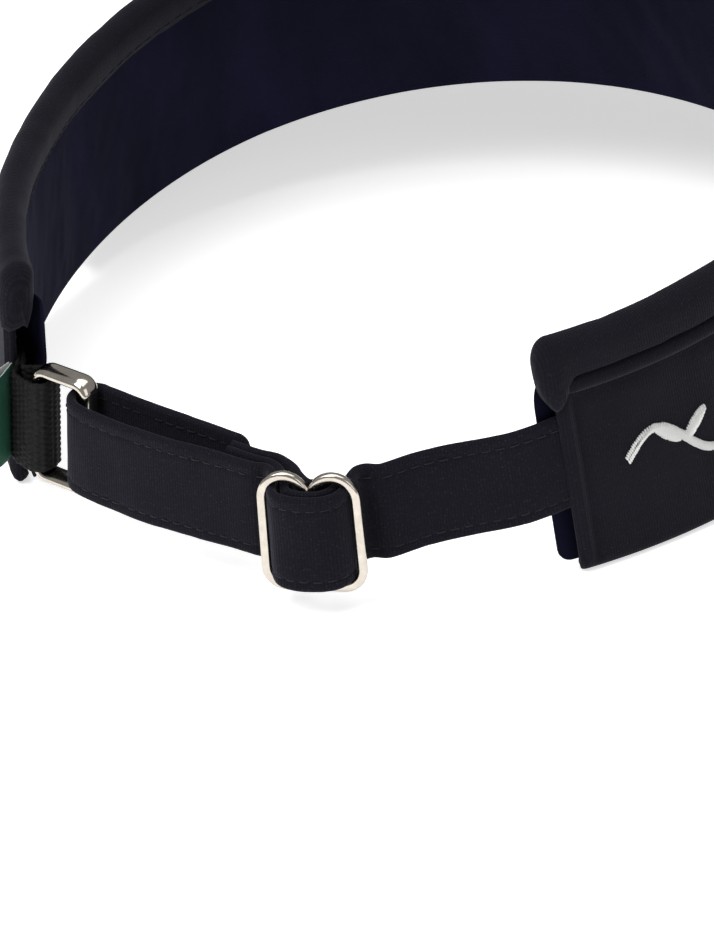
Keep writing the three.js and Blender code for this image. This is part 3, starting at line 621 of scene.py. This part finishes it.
def bill_piece():
    """Both covers over the board, pressed in along the stitch rows and bound at the outer edge."""
    out = np.unique(np.concatenate([np.linspace(0, 1, 41), *[[r - 0.006, r, r + 0.006] for r in BILL_ROWS]]))
    groove = sum(-0.3 * np.exp(-(((out - r) / 0.008) ** 2)) for r in BILL_ROWS)
    swell = 0.12 * np.abs(np.sin(np.pi * (out - 0.2) / 0.16)) * (out > 0.2) * (out < 0.84)
    top = [(o, 0.0, 1.62 + g + s) for o, g, s in zip(out, groove, swell)]
    edge = [(1, 0.9, 1.5), (1, 1.7, 1.0), (1, 2.0, 0.2), (1, 1.9, -0.6), (1, 1.3, -1.15), (1, 0.5, -1.2)]
    edge += [(1, 0.25, -1.05), (1, 0.0, -1.35)]
    low = [(o, 0.0, -1.62 - g * 0.8) for o, g in zip(out[::-1][1:], groove[::-1][1:])]
    section = np.array(top + edge + low)
    shape = Shape("bill_cloth")
    corner = 1 - np.linspace(0, BILL_CORNER_SPAN, 16) ** 2 / BILL_CORNER_SPAN
    half = np.unique(np.concatenate([np.linspace(0, 1, 61) ** 0.9, corner]))
    across = np.concatenate([-half[:0:-1], half])
    rings = []
    for a in across:
        grain = value_noise(a * 90, section[:, 0] * BILL_LENGTH, (6, 6), 31)
        rise = section[:, 2] + 0.09 * grain * np.sign(section[:, 2])
        rings.append(bill_point(np.full(len(section), a), section[:, 0], section[:, 1], rise))
    shape.grid(np.array(rings))
    along = np.linspace(-0.985, 0.985, 500)
    for r in BILL_ROWS:
        for rise in (1.4, -1.4):
            path, further = (bill_point(along, o, 0.0, rise) for o in (r, r + 0.01))
            n = unit(np.cross(np.gradient(path, axis=0), further - path))
            n *= np.sign(n[:, 2:3]) * np.sign(rise)
            shape.stitches(path, n, 3.0, 2.3, 0.15)
    return shape.build([cloth, navy_thread])


settle(bill_piece(), "headband", "outer_cloth", "bill_upper_cover", "bill_board", "bill_lower_cover")


# ---------- closure: flat ribbons ----------
def arc_plan(angle, offset):
    """A plan point on the closure's arc, or a distance outside it."""
    r = CLOSURE_RADIUS + offset
    return np.array([r * math.sin(math.radians(angle)), CLOSURE_Y + r * math.cos(math.radians(angle))])


def wall_plan(angle, offset):
    """A plan point in the band's wall, at the closure's mid height."""
    up = (MID_HEIGHT - float(band_bottom(angle))) / math.cos(float(band_lean(angle)))
    return band_point(angle, offset, up)[:2]


slider_centre = arc_plan(SLIDER_ANGLE, 0)
slider_out = slider_centre - (0, CLOSURE_Y)
slider_out /= np.linalg.norm(slider_out)
slider_left = np.array([slider_out[1], -slider_out[0]])


def slider_plan(left, out):
    """A plan point beside the slider, measured from the arc where the slider sits."""
    return slider_centre + slider_left * left + slider_out * out


def lean_out(p, lean):
    """Shifts points outwards or inwards with height, about the closure's mid height."""
    p = np.array(p, float)
    out = unit(p[..., :2] - (0, CLOSURE_Y))
    shift = -(p[..., 2] - MID_HEIGHT) * np.tan(np.radians(lean))
    p[..., :2] += out * shift[..., None]
    return p


def resample(line, step):
    """Even steps along a line of plan points."""
    s = arc_length(line)
    at = np.linspace(0, s[-1], int(round(s[-1] / step)) + 1)
    return part_way(line, s, at)


def curve_through(points, step):
    """A centripetal Catmull-Rom curve through plan points, resampled evenly."""
    pts = [np.array(p, float) for p in points]
    pts = [2 * pts[0] - pts[1], *pts, 2 * pts[-1] - pts[-2]]
    made = []
    for p0, p1, p2, p3 in zip(pts, pts[1:], pts[2:], pts[3:]):
        t0 = 0.0
        t1 = t0 + np.linalg.norm(p1 - p0) ** 0.5
        t2 = t1 + np.linalg.norm(p2 - p1) ** 0.5
        t3 = t2 + np.linalg.norm(p3 - p2) ** 0.5
        t = np.linspace(t1, t2, 24, endpoint=False)[:, None]
        a1 = (t1 - t) / (t1 - t0) * p0 + (t - t0) / (t1 - t0) * p1
        a2 = (t2 - t) / (t2 - t1) * p1 + (t - t1) / (t2 - t1) * p2
        a3 = (t3 - t) / (t3 - t2) * p2 + (t - t2) / (t3 - t2) * p3
        b1 = (t2 - t) / (t2 - t0) * a1 + (t - t0) / (t2 - t0) * a2
        b2 = (t3 - t) / (t3 - t1) * a2 + (t - t1) / (t3 - t1) * a3
        made.append((t2 - t) / (t2 - t1) * b1 + (t - t1) / (t2 - t1) * b2)
    return resample(np.concatenate([*made, [pts[-2]]]), step)


def across_ribbon(width, thickness):
    """(height across the ribbon, half thickness there), with stitch lines pressed in near both edges."""
    radius = thickness / 2
    edge = np.array([0, 0.07, 0.22, 0.45, 0.75, 1.0]) * radius
    half = np.concatenate([edge, STITCH_INSET + np.array([-0.5, -0.25, 0, 0.25, 0.5])])
    inner = np.linspace(half.max() + 0.8, width / 2, 5)
    v = np.unique(np.round(np.concatenate([half, inner, width - half, width - inner]), 5))
    near = np.minimum(v, width - v)
    thick = radius * np.sqrt(np.clip(1 - (1 - np.clip(near / radius, 0, 1)) ** 2, 0, 1))
    thick = thick - 0.17 * np.exp(-(((near - STITCH_INSET) / 0.3) ** 2))
    return v, np.maximum(thick, 0.02)


def plan_normals(path):
    ahead = unit(np.gradient(path, axis=0))
    return np.stack([-ahead[:, 1], ahead[:, 0]], -1)


def ribbon_ring(p, normal, half, wobble, heights, lean):
    """One section of an upright ribbon: up its outer face and down its inner one."""
    near = np.column_stack([p + normal * (half + wobble)[:, None], heights])
    far = np.column_stack([p + normal * (wobble - half)[:, None], heights])[::-1]
    return lean_out(np.concatenate([near, far]), lean)


def ribbon_rings(path, section, bottom, lean, ripple, seed):
    v, half = section
    rings = []
    for p, n, s in zip(path, plan_normals(path), arc_length(path)):
        wobble = ripple * value_noise(s, v, (6, 7), seed)
        rings.append(ribbon_ring(p, n, half, wobble, bottom + v, lean))
    return np.array(rings)


def ribbon_stitches(shape, path, normals, rise, offset, low, lean):
    """One row of stitches at a height across the ribbon, on the side that offset points to."""
    points = lean_out(np.column_stack([path + normals * offset, low + rise]), lean)
    way = np.column_stack([normals * np.sign(offset), np.zeros(len(normals))])
    shape.stitches(points, way, STITCH_PITCH, STITCH_LENGTH, THREAD_RADIUS)


# the strap is one continuous line of plan points, cut where the pieces part
strap_points = [
    wall_plan(-BAND_END - 7.5, 1.6),
    wall_plan(-BAND_END - 3, 1.6),
    wall_plan(-BAND_END, 1.6),
    arc_plan(-37, 0.1),
    arc_plan(-30, -1.9),
    arc_plan(-24, -2.0),
]
over_bar = [(-12, -1.1), (-9.2, -1.1), (-7.7, -0.1), (-6.9, 3.0), (-6.75, 6.4), (-5.5, 9.1)]
over_bar += [(-2.9, 10.5), (0, 10.8), (2.9, 10.5), (5.8, 9.2), (7.35, 6.4), (7.7, 3.2)]
over_bar += [(8.8, 0.8), (10.3, -0.2), (12, -0.3)]
strap_points += [slider_plan(*p) for p in over_bar]
by_ring = [(2, -0.8), (12, -1.4), (18.8, -1.1), (FOLD_ANGLE, FOLD_FRONT), (29.2, -0.6), (30.6, -2.0)]
by_ring += [(31.1, -4.1), (30.6, -6.2), (29.2, -7.6), (FOLD_ANGLE, FOLD_BACK)]
by_ring += [(22, -9.0), (15, -9.4), (8, -8.9), (0.8, -7.3)]
strap_points += [arc_plan(*p) for p in by_ring]
strap_line = curve_through(strap_points, 0.5)
strap_normals = plan_normals(strap_line)


def nearest(point, after=0):
    """Index of the strap line's nearest point, from a given index on."""
    return after + int(np.argmin(np.linalg.norm(strap_line[after:] - point, axis=1)))


front_split, back_split = arc_plan(FRONT_SPLIT, -1.3), arc_plan(BACK_SPLIT, -9.4)
cut_right = nearest(slider_plan(-12, -1.0))
cut_left = nearest(slider_plan(12, -0.3))
cut_front = nearest(front_split, cut_left)
cut_fold_in = nearest(arc_plan(FOLD_ANGLE, FOLD_FRONT), cut_front)
cut_fold_out = nearest(arc_plan(FOLD_ANGLE, FOLD_BACK), cut_fold_in + 10)
cut_back = nearest(back_split, cut_fold_out)

at_slider_side = slider_plan(-12, 0)[0]
at_right_end = wall_plan(-BAND_END, 0)[0]
towards_end = np.clip((strap_line[:, 0] - at_slider_side) / (at_right_end - at_slider_side), 0, 1.2)
towards_end[cut_right:] = 0
strap_low = STRAP_BOTTOM + (STRAP_BOTTOM_END - STRAP_BOTTOM) * towards_end
strap_lean = CLOSURE_LEAN + (END_LEAN - CLOSURE_LEAN) * np.clip(towards_end, 0, 1)
strap_section = across_ribbon(STRAP_WIDTH, STRAP_THICKNESS)


def strap_piece(name, first, last):
    """A stretch of the strap, stitched along both edges; its far end is rounded at the top."""
    cut = slice(first, last + 1)
    path, normals = strap_line[cut], strap_normals[cut]
    low, lean = strap_low[cut], strap_lean[cut]
    whole = arc_length(strap_line)
    s = arc_length(path) + whole[first]
    left_over = whole[-1] - s
    v, half = strap_section
    rings = []
    for i in range(len(path)):
        corner = 2.4 * (1 - math.sqrt(1 - (1 - np.clip(left_over[i] / 2.4, 0, 1)) ** 2))
        up = v * (1 - corner / STRAP_WIDTH)
        wobble = 0.14 * value_noise(s[i], v, (7, 8), 41) + 0.05 * value_noise(s[i], v, (2.2, 5), 42)
        rings.append(ribbon_ring(path[i], normals[i], half, wobble, low[i] + up, lean[i]))
    shape = Shape(name)
    shape.grid(np.array(rings))
    for rise in (STITCH_INSET, STRAP_WIDTH - STITCH_INSET):
        for offset in (0.8, -0.8):
            ribbon_stitches(shape, path, normals, rise, offset, low, lean)
    return shape.build([strap_cloth, navy_thread])


def strap_between(name, first, last, bodies, ends, *nodes):
    """A stretch of the strap, left in the row frame and attached to neither body; the CAD nodes it stands for
    are hidden. bodies and ends (plan points, one near each body) are not used.
    """
    piece = strap_piece(name, first, last)
    if nodes:
        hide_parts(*nodes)
    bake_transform(piece)


ends = (wall_plan(-BAND_END + 2, 1.6), slider_plan(-12.5, -1))
strap_between("strap_right", 0, cut_right, ("headband", "slider"), ends, "strap_right_run")

settle(strap_piece("strap_on_slider", cut_right, cut_left), "slider", "strap_cloth", "strap_over_bar")

bodies, ends = ("slider", "headband"), (slider_plan(12.5, -0.4), front_split)
strap_between("strap_front_by_slider", cut_left, cut_front, bodies, ends, "strap_front_layer")
bodies, ends = ("headband", "ring"), (front_split, arc_plan(27.3, -0.3))
strap_between("strap_front_by_ring", cut_front, cut_fold_in, bodies, ends)

settle(strap_piece("strap_fold", cut_fold_in, cut_fold_out), "ring", "strap_cloth", "strap_ring_fold")

bodies, ends = ("ring", "headband"), (arc_plan(27.3, -8), back_split)
strap_between("strap_back_by_ring", cut_fold_out, cut_back, bodies, ends, "strap_back_layer")
bodies, ends = ("headband", "slider"), (back_split, arc_plan(1.5, -7.4))
strap_between("strap_back_by_slider", cut_back, len(strap_line) - 1, bodies, ends)


def sewn_loop_piece():
    """The strap's end: in through one side of the slider, round its middle bar, and sewn to itself."""
    points = [arc_plan(2.5, -3.4)]
    through = [(12, -2.6), (9.4, -1.7), (6.8, 0.7), (5.3, 4.0), (4.6, 6.6), (2.9, 8.3), (0, 8.85)]
    through += [(-2.9, 8.3), (-4.6, 6.6), (-5.1, 4.6), (-4.7, 3.2), (-3.4, 2.9), (-2.0, 3.7)]
    through += [(0, 4.7), (2.2, 2.9), (4.6, -0.6), (8.1, -3.4), (12, -4.6)]
    points += [slider_plan(*p) for p in through] + [arc_plan(2.5, -5.3)]
    path = curve_through(points, 0.45)
    shape = Shape("strap_end_loop")
    section = across_ribbon(STRAP_WIDTH, LOOP_PLY)
    shape.grid(ribbon_rings(path, section, STRAP_BOTTOM, CLOSURE_LEAN, 0.08, 44))
    return shape.build([strap_cloth])


settle(sewn_loop_piece(), "slider", "strap_cloth", "strap_sewn_loop")


# ---------- slider ----------
def rounded_bar(width, depth, exponent, count=16):
    """Superellipse section of a pressed wire, as (across, deep)."""
    t = np.linspace(0, 2 * np.pi, count, endpoint=False) + np.pi / count
    c, s = np.cos(t), np.sin(t)
    x = np.sign(c) * np.abs(c) ** (2 / exponent) * width / 2
    return np.stack([x, np.sign(s) * np.abs(s) ** (2 / exponent) * depth / 2], -1)


def arc_points(cx, cy, radius, start, end, count):
    """Points on an arc about (cx, cy), its angles in degrees."""
    t = np.radians(np.linspace(start, end, count))
    return [(cx + radius * math.cos(a), cy + radius * math.sin(a)) for a in t]


def wire_rings(line, section, closed):
    """Sweeps the section along a line in the wire frame's own flat plane: (x, y, depth)."""
    line = np.array(line, float)
    if closed:
        ahead = np.roll(line, -1, 0) - np.roll(line, 1, 0)
    else:
        ahead = np.gradient(line, axis=0)
    ahead = unit(ahead)
    side = np.stack([-ahead[:, 1], ahead[:, 0]], -1)
    flat = line[:, None] + side[:, None] * section[None, :, :1]
    deep = np.broadcast_to(section[None, :, 1:], (len(line), len(section), 1))
    return np.concatenate([flat, deep], -1)


def even_loop(line):
    """A closed line at even steps, its first point not repeated."""
    return resample(np.array([*line, line[0]], float), 0.5)[:-1]


def slider_piece():
    """Wire bent into a frame with two humps that meet in a V, and a middle bar."""
    half, corner, low = SLIDER_HALF_WIDTH - WIRE / 2, SLIDER_CORNER - WIRE / 2, WIRE / 2
    hump_x, hump_y = SLIDER_HALF_WIDTH - HUMP_RADIUS, SLIDER_HEIGHT - HUMP_RADIUS
    hump = HUMP_RADIUS - WIRE / 2
    meet = 174 - math.degrees(math.acos(hump_x / HUMP_RADIUS))
    line = arc_points(half - corner, low + corner, corner, -90, 0, 9)
    line += arc_points(hump_x, hump_y, hump, 0, meet, 19)
    line += [(0.0, hump_y + 0.35)]
    line += arc_points(-hump_x, hump_y, hump, 180 - meet, 180, 19)
    line += arc_points(corner - half, low + corner, corner, 180, 270, 9)
    section = rounded_bar(WIRE + 0.25, WIRE, 3.2)
    bar = [(0.0, y) for y in np.linspace(low, hump_y + 0.3, 24)]
    bottom = MID_HEIGHT - SLIDER_HEIGHT / 2
    shape = Shape("slider_wire")
    for flat, closed in (
        (wire_rings(even_loop(line), section, True), True),
        (wire_rings(bar, section * 0.94, False), False),
    ):
        plan = slider_centre + flat[..., :1] * slider_left + (flat[..., 2:] + SLIDER_OFFSET) * slider_out
        rings = lean_out(np.concatenate([plan, flat[..., 1:2] + bottom], -1), CLOSURE_LEAN)
        shape.grid(rings, loop=closed)
    return shape.build([nickel], sharp=70)


settle(slider_piece(), "slider", "nickel", "slider")

# ---------- ring ----------
ring_left, ring_right = arc_plan(*RING_LEFT), arc_plan(*RING_RIGHT)
ring_span = float(np.linalg.norm(ring_right - ring_left))
ring_across = (ring_right - ring_left) / ring_span
ring_out = np.array([ring_across[1], -ring_across[0]])


def ring_plan(across, out):
    """A plan point beside the ring, from its left bar towards its right one."""
    return ring_left + ring_across * across + ring_out * out


def ring_piece():
    """A rectangle with rounded corners, deeper than it is wide."""
    c = RING_CORNER - RING_BAR / 2
    right = ring_span - c
    low = MID_HEIGHT - RING_HEIGHT / 2 + RING_BAR / 2 + c
    high = MID_HEIGHT + RING_HEIGHT / 2 - RING_BAR / 2 - c
    line = arc_points(right, low, c, -90, 0, 9) + arc_points(right, high, c, 0, 90, 9)
    line += arc_points(c, high, c, 90, 180, 9) + arc_points(c, low, c, 180, 270, 9)
    flat = wire_rings(even_loop(line), rounded_bar(RING_BAR, RING_DEPTH, 2.3, 20), True)
    plan = ring_left + flat[..., :1] * ring_across + flat[..., 2:] * ring_out
    shape = Shape("ring_metal")
    shape.grid(lean_out(np.concatenate([plan, flat[..., 1:2]], -1), CLOSURE_LEAN), loop=True)
    return shape.build([ring_nickel], sharp=70)


settle(ring_piece(), "ring", "nickel", "ring")


# ---------- webbing tab ----------
def webbing_rings(path, thickness):
    """Ribbed webbing: columns of short floats, each row half a float out of step with the next."""
    v = np.linspace(0, WEBBING_WIDTH, 77)
    edge = np.minimum(v, WEBBING_WIDTH - v)
    half = thickness / 2 * np.sqrt(np.clip(1 - (1 - np.clip(edge / (thickness / 2), 0, 1)) ** 2, 0.02, 1))
    low = MID_HEIGHT - WEBBING_WIDTH / 2
    rings = []
    for p, n, s in zip(path, plan_normals(path), arc_length(path)):
        column = s / 1.3
        step = 0.5 * (math.floor(column) % 2)
        floats = abs(math.sin(math.pi * column)) * np.abs(np.sin(np.pi * (v / 1.15 + step)))
        rings.append(ribbon_ring(p, n, half + 0.32 * floats - 0.16, np.zeros(len(v)), low + v, CLOSURE_LEAN))
    return np.array(rings)


def webbing_piece():
    """The tab: out of the band's wall, round the ring's left bar, and back in."""
    start = wall_plan(BAND_END - 0.3, 1.6)
    inside = wall_plan(BAND_END + 4, 1.6)
    hang = RING_DEPTH / 2 + 0.3 + WEBBING_PLY / 2
    loop = [inside + ring_out * 0.55, start + ring_out * 0.65]
    round_bar = [(-5.5, 1.6), (-2.4, hang - 0.3), (0, hang + 0.1), (1.9, hang - 0.4)]
    round_bar += [(2.8, 1.6), (3.0, 0), (2.8, -1.6), (1.9, 0.4 - hang)]
    round_bar += [(0, -hang - 0.1), (-2.4, 0.3 - hang), (-5.5, -1.2)]
    loop += [ring_plan(*p) for p in round_bar] + [start - ring_out * 0.65, inside - ring_out * 0.55]
    shape = Shape("webbing_tab")
    shape.grid(webbing_rings(curve_through(loop, 0.22), WEBBING_PLY))
    return shape.build([webbing])


settle(webbing_piece(), "headband", "webbing", "webbing_tab_end", "webbing_tab_loop")


# ---------- label ----------
def label_piece():
    """The folded ribbon, standing out and back from the band's left end."""
    root = wall_plan(BAND_END - 1.1, 3.9)
    out = loop_normal(BAND_END)
    along = np.array([-out[1], out[0]])
    way = (out + along) / np.linalg.norm(out + along)
    side = np.array([-way[1], way[0]])
    bulge = [(LABEL_LENGTH * share, apart) for share, apart in ((0.3, 0.75), (0.6, 1.0), (0.88, 0.8))]
    spread = [(-0.6, -0.35), *((a, -b) for a, b in bulge), (LABEL_LENGTH, 0), *bulge[::-1], (-0.6, 0.35)]
    path = curve_through([root + way * a + side * b for a, b in spread], 0.25)
    v = np.linspace(0, LABEL_HEIGHT, 30)
    half = np.full(len(v), LABEL_CLOTH / 2)
    half[0] = half[-1] = 0.1
    low = MID_HEIGHT - LABEL_HEIGHT / 2
    shape = Shape("label_ribbon")
    rings = ribbon_rings(path, (v, half), low, END_LEAN, 0.1, 51)
    shape.grid(rings, slot_of=lambda j: 0 if j < len(v) else 1)
    return shape.build([label_back, label_green])


settle(label_piece(), "label", "label_ribbon", "label")


# ---------- embroidery ----------
def on_panel(x, y, lift):
    """A place on the right side panel: x along the vine, y above its middle."""
    angle = VINE_FROM + (VINE_TO - VINE_FROM) * np.asarray(x) / VINE_LENGTH
    return band_point(angle, SHELL_FACE + 0.12 + np.asarray(lift), VINE_HEIGHT + np.asarray(y))


def satin_stitch(shape, line, widths, slant):
    """Threads laid side by side across a line, slanted and crowned."""
    line = np.asarray(line, float)
    s = arc_length(line)
    ahead = unit(np.gradient(line, axis=0))
    t = 0.0
    rng = np.random.default_rng(61)
    while t < s[-1]:
        (x, y), (dx, dy) = part_way(line, s, t), part_way(ahead, s, t)
        half = np.interp(t, s, widths) / 2 * rng.uniform(0.93, 1.07)
        turn_by = math.radians(90 - slant)
        ax = dx * math.cos(turn_by) - dy * math.sin(turn_by)
        ay = dx * math.sin(turn_by) + dy * math.cos(turn_by)
        steps = np.array([-1, -0.86, -0.45, 0, 0.45, 0.86, 1])
        crown = SATIN_LIFT * np.sqrt(np.clip(1.02 - steps**2, 0, 1)) - 0.1
        strand = on_panel(x + ax * half * steps, y + ay * half * steps, crown)
        shape.thread(strand, SATIN_STRAND, sides=6, slot=0)
        t += SATIN_PITCH


def vine_piece():
    """A waving stem with a leaf at each bend and crossing."""
    shape = Shape("embroidered_vine")

    def sway(x):
        return VINE_SWAY * np.sin(np.asarray(x) / VINE_LENGTH * VINE_WAVES * 2 * np.pi)

    x = np.linspace(0, VINE_LENGTH, 400)
    satin_stitch(shape, np.stack([x, sway(x)], -1), np.full(len(x), VINE_STROKE), 25)
    for i in range(1, int(VINE_WAVES * 4)):
        at = i / (VINE_WAVES * 4) * VINE_LENGTH
        side = -1 if i % 2 else 1
        way = np.array([math.cos(0.7 * side), math.sin(0.7 * side)])
        root = np.array([at, float(sway(at))]) - way * LEAF[0] * 0.15
        t = np.linspace(0, 1, 60)
        line = root + way * (t * LEAF[0] * 2)[:, None]
        satin_stitch(shape, line, 2 * LEAF[1] * np.sqrt(np.clip(1 - (2 * t - 1) ** 2, 0.02, 1)), 38 * side)
    return shape.build([white_thread])


settle(vine_piece(), "headband", "embroidery_thread", "embroidery")


# ---------- floor, light, camera ----------
def floor_piece():
    mesh = bpy.data.meshes.new("floor")
    r = FLOOR_HALF
    mesh.from_pydata([(-r, -r, 0), (r, -r, 0), (r, r, 0), (-r, r, 0)], [], [(0, 1, 2, 3)])
    n = Nodes("floor")
    grain = n.noise(n.node("ShaderNodeTexCoord").outputs["Object"], 3.0)
    n.shade(Base_Color=n.ramp(grain, [(0.3, (0.9, 0.9, 0.9)), (0.7, (0.93, 0.93, 0.93))]), Roughness=0.9)
    n.shade(Specular_IOR_Level=0.1, Emission_Color=(1, 1, 1, 1), Emission_Strength=0.6)
    mesh.materials.append(n.material)
    floor = bpy.data.objects.new("floor", mesh)
    bpy.context.scene.collection.objects.link(floor)


def area_light(name, place, target, size, power):
    data = bpy.data.lights.new(name, "AREA")
    data.shape, data.size, data.size_y, data.energy = "RECTANGLE", *size, power
    lamp = bpy.data.objects.new(name, data)
    lamp.location = place
    lamp.rotation_mode = "QUATERNION"
    lamp.rotation_quaternion = (Vector(target) - Vector(place)).to_track_quat("-Z", "Y")
    bpy.context.scene.collection.objects.link(lamp)


floor_piece()
middle = (0.0, 0.05, 0.03)
area_light("key", (0.5, 0.9, 1.5), middle, (1.1, 1.1), 19)
area_light("fill", (-1.5, 0.9, 0.9), middle, (1.0, 1.3), 5)
area_light("top", (0.0, -0.1, 1.7), middle, (1.5, 1.3), 13)
world = bpy.data.worlds.new("studio")
world.use_nodes = True
world.node_tree.nodes["Background"].inputs["Color"].default_value = (1, 1, 1, 1)
world.node_tree.nodes["Background"].inputs["Strength"].default_value = 0.33
bpy.context.scene.world = world
bpy.context.scene.view_settings.view_transform = "Standard"


def camera():
    """Behind the wearer and to their right, above the band, through a long lens."""
    level = math.cos(CAMERA_ELEVATION)
    back = np.array(
        [math.sin(CAMERA_AZIMUTH) * level, -math.cos(CAMERA_AZIMUTH) * level, math.sin(CAMERA_ELEVATION)]
    )
    right = np.cross(-back, [0, 0, 1])
    right /= np.linalg.norm(right)
    up = np.cross(right, -back)
    c, s = math.cos(CAMERA_ROLL), math.sin(CAMERA_ROLL)
    right, up = c * right + s * up, c * up - s * right
    aim = -back - right * CAMERA_SHIFT_RIGHT - up * CAMERA_SHIFT_UP
    aim /= np.linalg.norm(aim)
    right = np.cross(aim, up)
    right /= np.linalg.norm(right)
    up = np.cross(right, aim)
    columns = [turn(right), turn(up), turn(-aim)]
    data = bpy.data.cameras.new("camera")
    data.sensor_width, data.lens = CAMERA_SENSOR, CAMERA_LENS
    data.clip_start, data.clip_end = 0.05, 20
    shot = bpy.data.objects.new("camera", data)
    matrix = Matrix([[*row, 0] for row in np.stack(columns, -1).tolist()] + [[0, 0, 0, 1]])
    shot.matrix_world = Matrix.Translation(to_row(back * CAMERA_DISTANCE)) @ matrix
    bpy.context.scene.collection.objects.link(shot)
    bpy.context.scene.camera = shot


camera()
